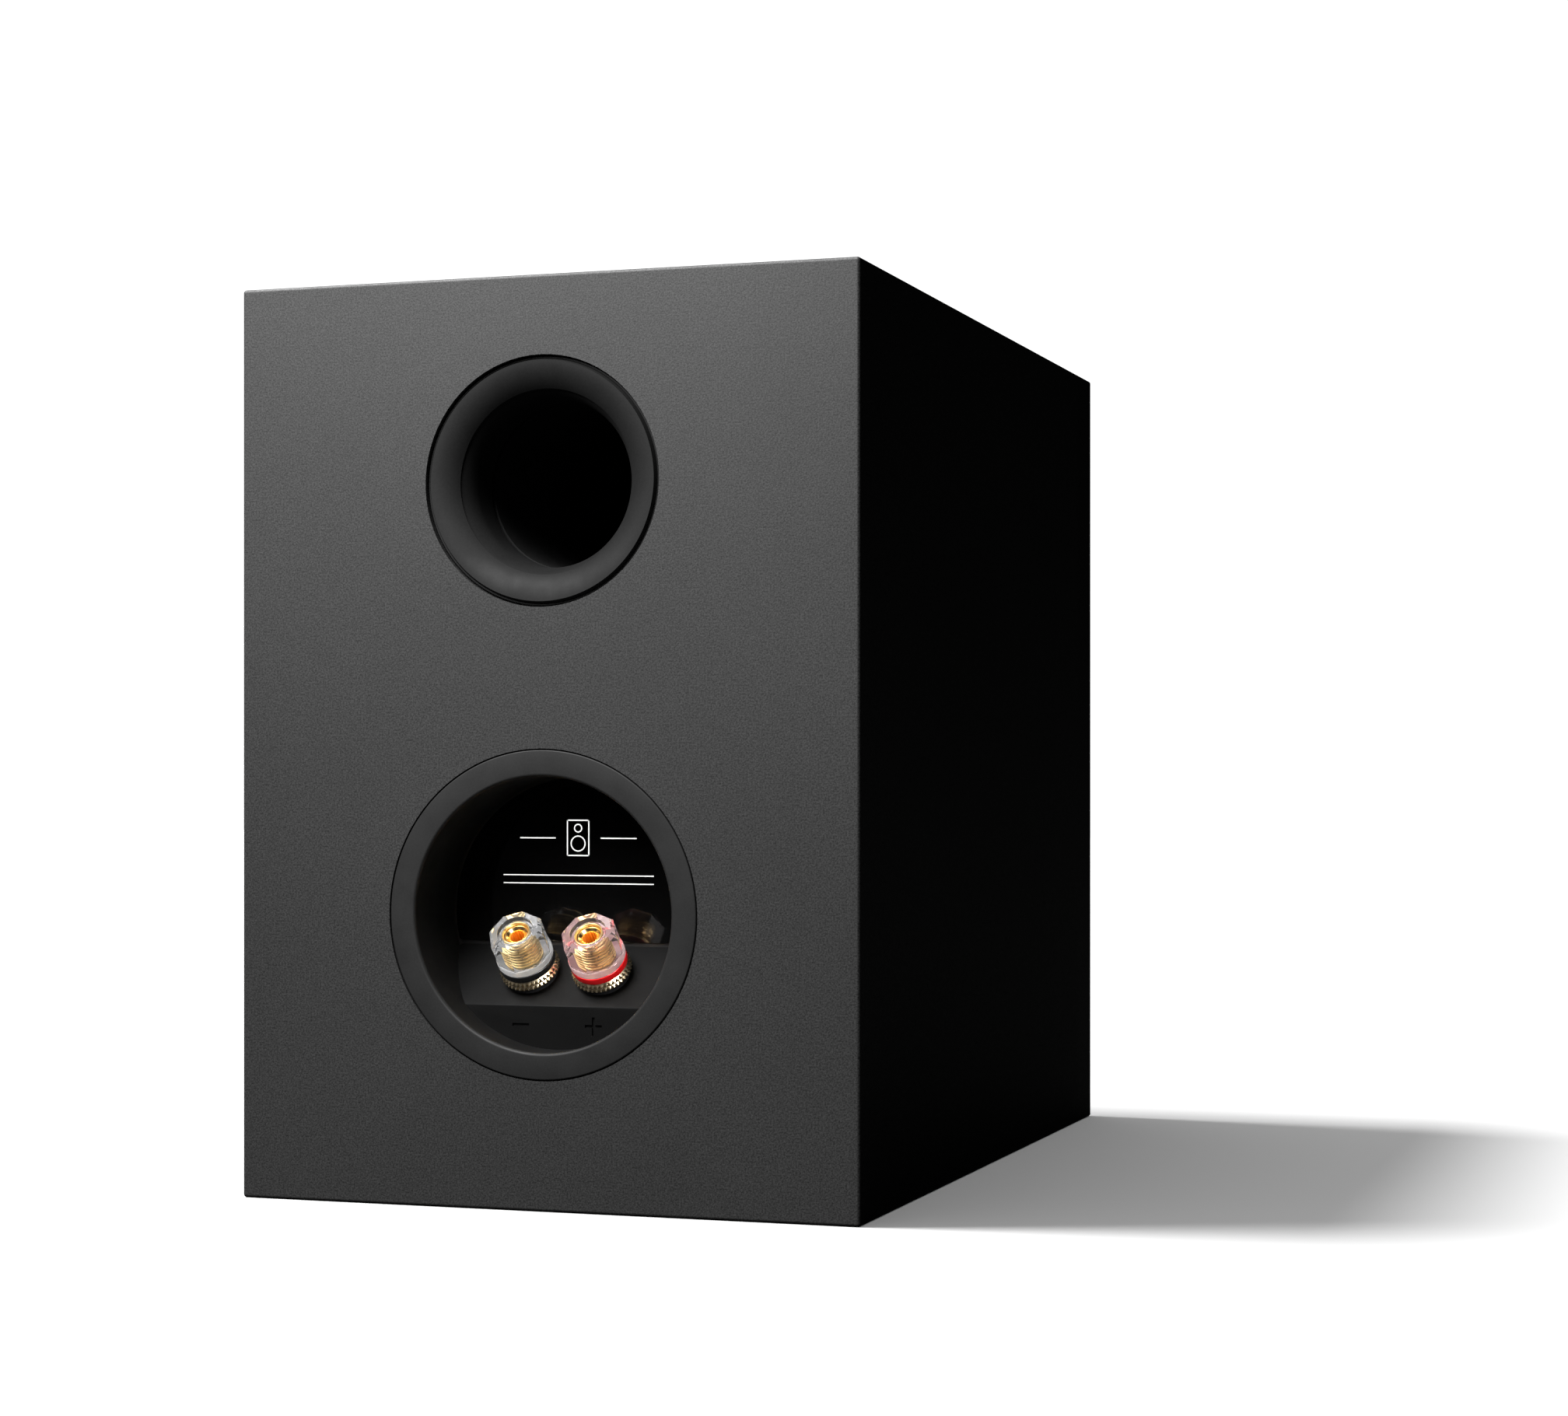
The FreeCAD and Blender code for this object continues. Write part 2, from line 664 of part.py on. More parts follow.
# ---------------------------------------------------------------- tweeter

def tweeter_faceplate():
    plate = turned([
        (TWEETER_R, 0), (TWEETER_R, TWEETER_FLANGE_T), (26.5, TWEETER_FLANGE_T), (26.5, 6.6),
        (17.5, 6.6), (17.5, 4.8), (15.8, 4.8), (15.8, 2.8), (20.6, 0.9, 27.5, 0)])
    holes = around(rod(1.6, vec(0, 0, -1), Z, 9), TWEETER_SCREWS, TWEETER_SCREW_R, 45)
    holes += around(Part.makeCone(3.1, 1.6, 1.5, vec(0, 0, 0), Z), TWEETER_SCREWS, TWEETER_SCREW_R, 45)
    return plate.cut(holes)


def tweeter_gasket():
    flat = ring(TWEETER_R - 0.2, 27.2, TWEETER_FLANGE_T, TWEETER_FLANGE_T + DRIVER_GASKET_T)
    return flat.cut(around(rod(1.6, vec(0, 0, 0), Z, 9), TWEETER_SCREWS, TWEETER_SCREW_R, 45))


def tweeter_dome():
    """Soft dome with a flat rim."""
    base = 4.8
    rise = 3.6
    edge = 12.3
    shell = 0.3
    sphere_r = (edge ** 2 + rise ** 2) / (2 * rise)
    half = math.asin(edge / sphere_r) / 2
    centre = base - rise + sphere_r
    inner_r = sphere_r - shell
    inner_edge = math.sqrt(inner_r ** 2 - (centre - base - shell) ** 2)
    inner_half = math.asin(inner_edge / inner_r) / 2
    return turned([
        (0, base - rise),
        (sphere_r * math.sin(half), centre - sphere_r * math.cos(half), edge, base),
        (13.2, base), (13.2, base + shell), (inner_edge, base + shell),
        (inner_r * math.sin(inner_half), centre - inner_r * math.cos(inner_half), 0, base - rise + shell)])


def tweeter_surround():
    """Small half roll from the dome's rim to the faceplate's clamp."""
    base = 4.8
    middle = 14.35
    roll_r = 1.0
    inner_r = 0.7
    return turned([
        (17.4, base), (middle + roll_r, base), (middle, base - roll_r, middle - roll_r, base),
        (13.25, base), (13.25, base + 0.3), (middle - inner_r, base + 0.3), (middle - inner_r, base),
        (middle, base - inner_r, middle + inner_r, base), (middle + inner_r, base + 0.3), (17.4, base + 0.3)])


def tweeter_motor():
    """Magnet system and voice coil, all about the tweeter's axis."""
    coil = turned([(12.25, 5.1), (12.45, 5.1), (12.45, 6.9), (12.8, 6.9), (12.8, 8.9),
                   (12.45, 8.9), (12.45, 9.4), (12.25, 9.4)])
    top_plate = turned([(13.3, 6.6), (16.0, 6.6), (16.0, 5.1), (17.4, 5.1), (17.4, 6.6), (26.4, 6.6),
                        (26.4, 9.1), (13.3, 9.1)])
    back_plate = turned([(0, 6.2), (11.2, 6.2), (11.8, 6.8), (11.8, 17), (24, 17), (24, 20.0),
                         (23.4, 20.6), (0, 20.6)])
    return {
        "tweeter_coil": coil,
        "tweeter_top_plate": top_plate,
        "tweeter_magnet": ring(25.5, 14.5, 9.1, 17),
        "tweeter_back_plate": back_plate,
    }


# ---------------------------------------------------------------- crossover and wiring

def grille_socket():
    cup = rod(SOCKET_R, vec(0, 0, 0), Z, SOCKET_T)
    lead_in = Part.makeCone(SOCKET_BORE_R + 0.5, SOCKET_BORE_R, 0.5, vec(0, 0, 0), Z)
    return cup.cut(rod(SOCKET_BORE_R, vec(0, 0, -1), Z, SOCKET_BORE_DEPTH + 1)).cut(lead_in)


def grille_sockets():
    sockets = []
    for x, z in socket_places():
        item = facing_front(grille_socket(), z)
        item.translate(vec(x, 0, 0))
        sockets.append(item)
    return group(sockets)


def board_hole_places():
    low, high = BOARD_Y
    inset = BOARD_HOLE_INSET
    return [(sx * (BOARD_X - inset), y) for sx in (-1, 1) for y in (low + inset, high - inset)]


def crossover_board():
    low, high = BOARD_Y
    board = box(-BOARD_X, BOARD_X, low, high, BOARD_Z, BOARD_Z + BOARD_T)
    holes = [rod(1.6, vec(x, y, BOARD_Z - 1), Z, 4) for x, y in board_hole_places()]
    return board.cut(holes)


def crossover_spacers():
    height = BOARD_Z - WALL
    spacers = []
    for x, y in board_hole_places():
        spacers.append(rod(3.5, vec(x, y, WALL), Z, height).cut(rod(1.6, vec(x, y, 0), Z, HEIGHT)))
    return group(spacers)


def crossover_screws():
    screws = []
    top = BOARD_Z + BOARD_T
    for x, y in board_hole_places():
        head = rod(2.8, vec(x, y, top), Z, 2.0)
        shank = rod(1.4, vec(x, y, WALL), Z, top - WALL)
        screws.append(head.fuse(shank).removeSplitter())
    return group(screws)


def crossover_coils():
    """Two air-core coils set at right angles to each other."""
    top = BOARD_Z + BOARD_T
    flat = ring(17, 8, 0, 13)
    flat.translate(vec(30, 68, top))
    upright = ring(12, 6, -5.5, 5.5)
    upright.rotate(vec(0, 0, 0), Y, 90)
    upright.translate(vec(-32, 70, top + 12))
    return group([flat, upright])


def crossover_capacitors():
    top = BOARD_Z + BOARD_T
    large = turned([(0, -18), (8.2, -18), (9, -17.2), (9, 17.2), (8.2, 18), (0, 18)])
    large.rotate(vec(0, 0, 0), Y, 90)
    large.translate(vec(27, 38, top + 9))
    small = turned([(0, -14), (6.3, -14), (7, -13.3), (7, 13.3), (6.3, 14), (0, 14)])
    small.rotate(vec(0, 0, 0), Y, 90)
    small.translate(vec(-28, 28, top + 7))
    return group([large, small])


def crossover_resistors():
    top = BOARD_Z + BOARD_T
    return group([box(-44, -4, y, y + 9, top, top + 8.5) for y in (38, 49)])


def wire_route(side):
    """The three wires of one polarity: cup to board, board to woofer and board to tweeter."""
    top = BOARD_Z + BOARD_T + 0.12
    post = [(side * 9.5, 91.3, 61.35), (side * 10, 86, 66), (side * 11.5, 79, 56), (side * 12, 76.5, 40),
            (side * 11.6, 76, top)]
    woofer = [(side * 20, 20, top), (side * 21, 19, 44), (side * 19, 14, 78), (side * 14, -4, 108),
              (side * 8, -34, 122), (side * 4.5, -70.4, WOOFER_Z + 46.05)]
    tweeter = [(side * 46, 30, top), (side * 46, 27, 50), (side * 42, 20, 92), (side * 34, -2, 122),
               (side * 26, -34, 150), (side * 12, -68, 176), (side * 4.5, -91.7, TWEETER_Z)]
    return [post, woofer, tweeter]


def wires(side):
    return group([tube(route, WIRE_R) for route in wire_route(side)])


def wadding_pads():
    """Soft lining on the side walls and under the top, behind the brace."""
    pads = [
        box(-67.4, -56, 14, 98, 62, 196),
        box(56, 67.4, 14, 98, 62, 196),
        box(-52, 52, 14, 98, 201, 212.4),
    ]
    return group([pad.makeFillet(4, pad.Edges) for pad in pads])


# ---------------------------------------------------------------- assembly

def cabinet_nodes():
    block = rounded_block()
    nodes = cabinet_walls(block)
    nodes["front_baffle"] = front_baffle(block)
    nodes["rear_panel"] = rear_panel(block)
    nodes["cabinet_brace"] = cabinet_brace()
    nodes["port_flare"] = port_flare()
    nodes["port_duct"] = port_duct()
    nodes["terminal_cup"] = terminal_cup()
    nodes["terminal_label"] = terminal_label()
    nodes["rear_gaskets"] = group([port_gasket(), terminal_gasket()])
    nodes["grille_sockets"] = grille_sockets()
    nodes["wadding_pads"] = wadding_pads()
    return nodes


def post_nodes():
    sides = (("neg", POST_X), ("pos", -POST_X))
    nodes = {}
    fixed = {
        "post_studs": post_stud(),
        "post_insulators": post_insulator(),
        "post_collars": post_collar(),
        "post_inner_insulators": post_inner_insulator(),
        "post_lugs": post_lug(),
        "post_nuts": post_nut(),
    }
    for name, shape in fixed.items():
        nodes[name] = group([on_post(shape, x) for _, x in sides])
    moving = {
        "clamp_washer": post_washer(),
        "post_knob": post_knob(),
        "post_insert": post_insert(),
        "post_ring": post_ring(),
    }
    for name, shape in moving.items():
        for side, x in sides:
            nodes[name + "_" + side] = on_post(shape, x)
    return nodes


def driver_nodes():
    woofer_screw = flat_screw(3.8, 1.8, 1.8, 17, 1.4)
    tweeter_screw = flat_screw(3.0, 1.5, 1.4, 15, 1.1)
    woofer = {
        "woofer_basket": woofer_basket(),
        "woofer_trim_ring": woofer_trim_ring(),
        "woofer_surround": woofer_surround(),
        "woofer_cone": woofer_cone(),
        "woofer_dust_cap": woofer_dust_cap(),
        "woofer_spider": woofer_spider(),
        "woofer_screws": group(around(woofer_screw, WOOFER_SCREWS, WOOFER_SCREW_R, 30)),
    }
    woofer.update(woofer_motor())
    tweeter = {
        "tweeter_faceplate": tweeter_faceplate(),
        "tweeter_dome": tweeter_dome(),
        "tweeter_surround": tweeter_surround(),
        "tweeter_screws": group(around(tweeter_screw, TWEETER_SCREWS, TWEETER_SCREW_R, 45)),
    }
    tweeter.update(tweeter_motor())
    nodes = {name: facing_front(shape, WOOFER_Z) for name, shape in woofer.items()}
    for name, shape in tweeter.items():
        nodes[name] = facing_front(shape, TWEETER_Z)
    nodes["driver_gaskets"] = group([
        facing_front(woofer_gasket(), WOOFER_Z),
        facing_front(tweeter_gasket(), TWEETER_Z)])
    nodes["tag_boards"] = group([woofer_tag_board(), tweeter_tag_board()])
    nodes["connector_tags"] = connector_tags()
    nodes["woofer_leads"] = woofer_leads()
    return nodes


def crossover_nodes():
    return {
        "crossover_board": crossover_board(),
        "crossover_spacers": crossover_spacers(),
        "crossover_screws": crossover_screws(),
        "crossover_coils": crossover_coils(),
        "crossover_capacitors": crossover_capacitors(),
        "crossover_resistors": crossover_resistors(),
        "wires_negative": wires(1),
        "wires_positive": wires(-1),
    }


parts = {}
parts.update(cabinet_nodes())
parts.update(post_nodes())
parts.update(driver_nodes())
parts.update(crossover_nodes())
save(parts)
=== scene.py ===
"""Looks of a two-way bookshelf loudspeaker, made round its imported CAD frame.

Blender works in metres. Outlines are written in millimetres as (radius, station) pairs, where the
station runs inwards from the front or rear face, or along a binding post from the cup's slope.
"""
import json
import math
import bmesh
import bpy
import numpy as np
from mathutils import Matrix, Vector

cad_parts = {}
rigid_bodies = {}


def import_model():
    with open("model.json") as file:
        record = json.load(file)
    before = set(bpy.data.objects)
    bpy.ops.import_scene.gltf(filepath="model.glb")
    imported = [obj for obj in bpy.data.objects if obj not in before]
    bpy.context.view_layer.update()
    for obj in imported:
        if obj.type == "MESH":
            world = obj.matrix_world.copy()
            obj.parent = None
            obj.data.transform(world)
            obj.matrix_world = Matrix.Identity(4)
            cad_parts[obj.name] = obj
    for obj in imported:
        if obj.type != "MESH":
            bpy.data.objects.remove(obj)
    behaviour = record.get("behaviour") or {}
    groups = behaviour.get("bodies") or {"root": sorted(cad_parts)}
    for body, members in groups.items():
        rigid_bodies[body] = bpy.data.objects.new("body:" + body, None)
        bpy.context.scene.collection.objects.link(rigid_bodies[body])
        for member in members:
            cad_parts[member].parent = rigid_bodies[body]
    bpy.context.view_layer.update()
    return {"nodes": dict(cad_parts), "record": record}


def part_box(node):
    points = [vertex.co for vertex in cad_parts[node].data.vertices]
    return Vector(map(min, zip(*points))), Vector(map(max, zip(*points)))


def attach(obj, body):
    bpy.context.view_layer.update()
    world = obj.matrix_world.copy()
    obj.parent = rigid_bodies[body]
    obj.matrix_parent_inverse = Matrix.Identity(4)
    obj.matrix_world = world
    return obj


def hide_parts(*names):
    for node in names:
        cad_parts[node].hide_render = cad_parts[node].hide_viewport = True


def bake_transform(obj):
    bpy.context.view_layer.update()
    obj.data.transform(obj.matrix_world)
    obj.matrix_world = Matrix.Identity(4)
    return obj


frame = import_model()

MM = 0.001
TAU = 2 * math.pi
RIB_PITCH = 0.95


# ---------------------------------------------------------------- camera

camera = bpy.data.objects.new("camera", bpy.data.cameras.new("camera"))
camera.location = (-0.28726, 0.79942, 0.10588)
camera.rotation_euler = Vector((0.3158, -0.9488, 0.0)).to_track_quat("-Z", "Y").to_euler()
camera.data.sensor_width = 36.0
camera.data.lens = 70.34
camera.data.shift_y = 0.0398
camera.data.clip_start = 0.01
bpy.context.collection.objects.link(camera)
bpy.context.scene.camera = camera


# ---------------------------------------------------------------- materials

class Look:
    """A material on one principled shader, with helpers for procedural detail in object space."""

    def __init__(self, name, colour, rough, **sockets):
        self.material = bpy.data.materials.new(name)
        self.material.use_nodes = True
        self.nodes = self.material.node_tree.nodes
        self.links = self.material.node_tree.links
        self.shader = self.nodes["Principled BSDF"]
        self.shader.inputs["Base Color"].default_value = (*colour, 1.0)
        self.shader.inputs["Roughness"].default_value = rough
        for key, value in sockets.items():
            self.shader.inputs[key.replace("_", " ")].default_value = value
        self.base = colour
        self.colour = None
        self.place = self.add("ShaderNodeTexCoord").outputs["Object"]

    def add(self, kind, **settings):
        node = self.nodes.new(kind)
        for key, value in settings.items():
            setattr(node, key, value)
        return node

    def wire(self, socket, target):
        if isinstance(socket, (int, float)):
            target.default_value = socket
        else:
            self.links.new(socket, target)

    def math(self, operation, a, b=0.0):
        node = self.add("ShaderNodeMath", operation=operation)
        self.wire(a, node.inputs[0])
        self.wire(b, node.inputs[1])
        return node.outputs[0]

    def noise(self, size_mm, detail=3.0, rough=0.5):
        node = self.add("ShaderNodeTexNoise")
        node.inputs["Scale"].default_value = 1.0 / (size_mm * MM)
        node.inputs["Detail"].default_value = detail
        node.inputs["Roughness"].default_value = rough
        self.links.new(self.place, node.inputs["Vector"])
        return node.outputs["Fac"]

    def axis(self, letter):
        node = self.add("ShaderNodeSeparateXYZ")
        self.links.new(self.place, node.inputs[0])
        return node.outputs[letter]

    def stripes(self, coordinate, pitch_mm):
        """Sine stripes from 0 to 1 along a coordinate in metres."""
        turns = self.math("MULTIPLY", coordinate, TAU / (pitch_mm * MM))
        return self.math("MULTIPLY_ADD", self.math("SINE", turns), 0.5)

    def ranged(self, socket, low, high, start=0.0, end=1.0):
        node = self.add("ShaderNodeMapRange")
        self.wire(socket, node.inputs["Value"])
        node.inputs["From Min"].default_value = start
        node.inputs["From Max"].default_value = end
        node.inputs["To Min"].default_value = low
        node.inputs["To Max"].default_value = high
        return node.outputs["Result"]

    def mix(self, factor, first, second, blend="MIX"):
        node = self.add("ShaderNodeMix", data_type="RGBA", blend_type=blend)
        self.wire(factor, node.inputs["Factor"])
        for value, target in ((first, node.inputs["A"]), (second, node.inputs["B"])):
            if isinstance(value, tuple):
                target.default_value = (*value, 1.0)
            else:
                self.links.new(value, target)
        self.links.new(node.outputs["Result"], self.shader.inputs["Base Color"])
        self.colour = node.outputs["Result"]
        return self

    def blend(self, factor, other):
        """Mix another colour into the look."""
        return self.mix(factor, self.colour or self.base, other)

    def shade(self, socket, low, high, start=0.3, end=0.7):
        """Multiply the colour by a grey between low and high."""
        grey = self.ranged(socket, low, high, start, end)
        node = self.add("ShaderNodeCombineColor")
        for i in range(3):
            self.links.new(grey, node.inputs[i])
        return self.mix(1.0, self.colour or self.base, node.outputs[0], "MULTIPLY")

    def roughen(self, socket, low, high, start=0.3, end=0.7):
        self.links.new(self.ranged(socket, low, high, start, end), self.shader.inputs["Roughness"])
        return self

    def bump(self, socket, height_mm):
        node = self.add("ShaderNodeBump")
        node.inputs["Distance"].default_value = height_mm * MM
        self.links.new(socket, node.inputs["Height"])
        target = self.shader.inputs["Normal"]
        if target.is_linked:
            self.links.new(target.links[0].from_socket, node.inputs["Normal"])
        self.links.new(node.outputs["Normal"], target)
        return self


def grained(name, colour, rough, grain_mm, depth_mm, **sockets):
    """Moulded or coated surface: fine grain, broad cloudiness and a little rub."""
    look = Look(name, colour, rough, **sockets)
    look.shade(look.noise(14, 3), 0.88, 1.12)
    look.shade(look.noise(grain_mm, 2), 0.9, 1.1)
    look.roughen(look.noise(6, 4), rough - 0.06, rough + 0.06)
    return look.bump(look.noise(grain_mm, 2), depth_mm)


def metal(name, colour, rough, brush_mm=0.25):
    """Plated or turned metal: fine directionless wear and slight colour drift."""
    look = Look(name, colour, rough, Metallic=1.0)
    look.shade(look.noise(3, 3), 0.9, 1.08)
    look.roughen(look.noise(1.2, 4), max(rough - 0.05, 0.04), rough + 0.08)
    return look.bump(look.noise(brush_mm, 2), 0.004)


def inside_mask(look):
    """1 on the faces that bound the cabinet's inside, 0 on the outside faces."""
    middle = 0.5 * (INNER_FRONT + INNER_REAR)
    half = 0.5 * (INNER_REAR - INNER_FRONT) + 0.06
    near_x = look.math("LESS_THAN", look.math("ABSOLUTE", look.axis("X")), (INNER_X + 0.06) * MM)
    offset_y = look.math("SUBTRACT", look.axis("Y"), middle * MM)
    near_y = look.math("LESS_THAN", look.math("ABSOLUTE", offset_y), half * MM)
    offset_z = look.math("SUBTRACT", look.axis("Z"), INNER_MID_Z * MM)
    near_z = look.math("LESS_THAN", look.math("ABSOLUTE", offset_z), (INNER_HALF_Z + 0.06) * MM)
    return look.math("MULTIPLY", look.math("MULTIPLY", near_x, near_y), near_z)


RAW_BOARD = (0.42, 0.31, 0.2)


def wrapped_board(name, colour, rough):
    """Dark vinyl wrap with fine specks and soft mottling; bare fibreboard on the inside."""
    look = Look(name, colour, rough)
    look.shade(look.noise(0.42, 2, 0.6), 0.4, 1.65, 0.32, 0.68)
    look.shade(look.noise(3.0, 3), 0.96, 1.04)
    look.shade(look.noise(55, 2), 0.94, 1.06)
    look.blend(inside_mask(look), RAW_BOARD)
    look.roughen(look.noise(0.7, 3), rough - 0.05, rough + 0.05)
    return look.bump(look.noise(0.42, 2, 0.6), 0.03)


def raw_board():
    look = Look("bare_fibreboard", RAW_BOARD, 0.8)
    look.shade(look.noise(0.8, 4, 0.7), 0.75, 1.2)
    look.shade(look.noise(9, 3), 0.9, 1.1)
    look.bump(look.noise(0.5, 3), 0.05)
    return look


def winding(name, colour, pitch_mm, letter="Y"):
    """Enamelled wire laid in close turns."""
    look = Look(name, colour, 0.28, Metallic=1.0, Coat_Weight=0.6)
    turns = look.stripes(look.axis(letter), pitch_mm)
    look.shade(turns, 0.55, 1.1, 0.0, 1.0)
    look.shade(look.noise(5, 3), 0.85, 1.1)
    return look.bump(turns, 0.12 * pitch_mm)


def cloth(name, colour, thread_mm, rough, letters=("X", "Z"), **sockets):
    """Woven cloth: two crossing sets of threads."""
    look = Look(name, colour, rough, **sockets)
    weave = look.math("MULTIPLY", look.stripes(look.axis(letters[0]), thread_mm),
                      look.stripes(look.axis(letters[1]), thread_mm))
    look.shade(weave, 0.7, 1.15, 0.0, 1.0)
    look.shade(look.noise(5, 3), 0.88, 1.1)
    return look.bump(weave, 0.25 * thread_mm)


# ---------------------------------------------------------------- places, from the frame

def box_mm(node):
    low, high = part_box(node)
    return [v / MM for v in low], [v / MM for v in high]


rear_low, rear_high = box_mm("rear_panel")
front_low, front_high = box_mm("front_baffle")
FRONT = front_low[1]
REAR = rear_high[1]
INNER_FRONT = front_high[1]
INNER_REAR = rear_low[1]
brace_low, brace_high = box_mm("cabinet_brace")
INNER_X = brace_high[0]
INNER_MID_Z = 0.5 * (brace_low[2] + brace_high[2])
INNER_HALF_Z = 0.5 * (brace_high[2] - brace_low[2])


def centre_z(node):
    low, high = box_mm(node)
    return 0.5 * (low[2] + high[2])


PORT_Z = centre_z("port_flare")
CUP_Z = centre_z("terminal_cup")
WOOFER_Z = centre_z("woofer_basket")
TWEETER_Z = centre_z("tweeter_faceplate")


def front_axes(z):
    return Matrix.Translation((0, FRONT * MM, z * MM)) @ Matrix.Rotation(math.radians(-90), 4, "X")


def rear_axes(z):
    return Matrix.Translation((0, REAR * MM, z * MM)) @ Matrix.Rotation(math.radians(90), 4, "X")


MOUNTS = {mount["name"]: mount for mount in frame["record"]["mounts"]}
MOUNT_STATION = 4.0


def post_axes(side):
    """Post axes: Z along the stud, 0 at the slope."""
    mount = MOUNTS["banana_socket_" + side]
    foot = Vector(mount["pos_m"]) - Vector(mount["axis"]) * MOUNT_STATION * MM
    return Matrix.Translation(foot) @ Matrix.Rotation(math.radians(-45), 4, "X")


# ---------------------------------------------------------------- mesh tools

def arc(centre, radius, start, end, steps=16):
    """Points on an arc, angles in degrees from the radius axis."""
    points = []
    for i in range(steps + 1):
        a = math.radians(start + (end - start) * i / steps)
        points.append((centre[0] + radius * math.cos(a), centre[1] + radius * math.sin(a)))
    return points


def arc_through(first, middle, last, steps=24):
    """Points on the arc through three points."""
    (x1, y1), (x2, y2), (x3, y3) = first, middle, last
    d = 2 * (x1 * (y2 - y3) + x2 * (y3 - y1) + x3 * (y1 - y2))
    q1, q2, q3 = x1 * x1 + y1 * y1, x2 * x2 + y2 * y2, x3 * x3 + y3 * y3
    cx = (q1 * (y2 - y3) + q2 * (y3 - y1) + q3 * (y1 - y2)) / d
    cy = (q1 * (x3 - x2) + q2 * (x1 - x3) + q3 * (x2 - x1)) / d
    a1, a2, a3 = (math.atan2(y - cy, x - cx) for x, y in (first, middle, last))
    span = (a3 - a1) % TAU
    if (a2 - a1) % TAU > span:
        span -= TAU
    return arc((cx, cy), math.hypot(x1 - cx, y1 - cy), math.degrees(a1), math.degrees(a1 + span), steps)


def rounded(points, steps=4):
    """Closed outline with its corners rounded: a point is (r, s) or (r, s, fillet radius)."""
    out = []
    count = len(points)
    for i, point in enumerate(points):
        if len(point) == 2 or point[2] <= 0:
            out.append(tuple(point[:2]))
            continue
        corner = Vector(point[:2])
        before = (Vector(points[i - 1][:2]) - corner).normalized()
        after = (Vector(points[(i + 1) % count][:2]) - corner).normalized()
        half = before.angle(after) / 2
        centre = corner + (before + after).normalized() * point[2] / math.sin(half)
        reach = point[2] / math.tan(half)
        start = corner + before * reach - centre
        end = corner + after * reach - centre
        turn = start.angle_signed(end)
        for k in range(steps + 1):
            a = turn * k / steps
            c, s = math.cos(a), math.sin(a)
            out.append((centre.x + c * start.x + s * start.y, centre.y - s * start.x + c * start.y))
    return out


def lathe(outline, segments=96, shape=None):
    """Vertices and faces of a closed outline turned about Z. shape(r, s, angle) may change r."""
    verts, rows = [], []
    for r, s in outline:
        if r < 1e-6:
            rows.append([len(verts)] * segments)
            verts.append((0.0, 0.0, s))
            continue
        row = []
        for i in range(segments):
            a = TAU * i / segments
            radius = shape(r, s, a) if shape else r
            row.append(len(verts))
            verts.append((radius * math.cos(a), radius * math.sin(a), s))
        rows.append(row)
    faces = []
    for low, high in zip(rows, rows[1:] + rows[:1]):
        for i in range(segments):
            j = (i + 1) % segments
            loop = [low[i], low[j], high[j], high[i]]
            face = [v for k, v in enumerate(loop) if v != loop[k - 1]]
            if len(face) > 2:
                faces.append(face)
    return verts, faces


def prism(outline, low, high):
    """Vertices and faces of a closed outline in the XY plane, drawn out along Z."""
    count = len(outline)
    verts = [(x, y, low) for x, y in outline] + [(x, y, high) for x, y in outline]
    faces = [list(range(count))[::-1], [count + i for i in range(count)]]
    for i in range(count):
        j = (i + 1) % count
        faces.append([i, j, count + j, count + i])
    return verts, faces


def joined(*shapes):
    verts, faces = [], []
    for some_verts, some_faces in shapes:
        start = len(verts)
        verts += some_verts
        faces += [[v + start for v in face] for face in some_faces]
    return verts, faces


def moved(shape, dx, dy):
    verts, faces = shape
    return [(x + dx, y + dy, z) for x, y, z in verts], faces


def finish_mesh(mesh, sharp_deg=38):
    data = bmesh.new()
    data.from_mesh(mesh)
    bmesh.ops.remove_doubles(data, verts=data.verts, dist=1e-7)
    bmesh.ops.recalc_face_normals(data, faces=data.faces)
    data.to_mesh(mesh)
    data.free()
    mesh.polygons.foreach_set("use_smooth", [True] * len(mesh.polygons))
    mesh.set_sharp_from_angle(angle=math.radians(sharp_deg))


def piece(name, shape, axes, look=None, sharp_deg=38):
    """A new object from vertices in millimetres, placed by its axes."""
    verts, faces = shape
    mesh = bpy.data.meshes.new(name)
    mesh.from_pydata([(x * MM, y * MM, z * MM) for x, y, z in verts], [], faces)
    mesh.transform(axes)
    finish_mesh(mesh, sharp_deg)
    item = bpy.data.objects.new(name, mesh)
    bpy.context.collection.objects.link(item)
    if look:
        mesh.materials.append(look.material)
    return item


def carve(item, other, operation="DIFFERENCE"):
    """Exact boolean of one piece with a throwaway one."""
    modifier = item.modifiers.new("carve", "BOOLEAN")
    modifier.operation = operation
    modifier.solver = "EXACT"
    modifier.object = other
    bpy.context.view_layer.update()
    result = bpy.data.meshes.new_from_object(item.evaluated_get(bpy.context.evaluated_depsgraph_get()))
    item.modifiers.clear()
    old = item.data
    item.data = result
    result.name = old.name
    bpy.data.meshes.remove(old)
    spare = other.data
    bpy.data.objects.remove(other)
    bpy.data.meshes.remove(spare)
    finish_mesh(result)


def settle(item, body, slot, *nodes):
    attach(item, body)
    if nodes:
        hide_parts(*nodes)


# ---------------------------------------------------------------- looks by slot

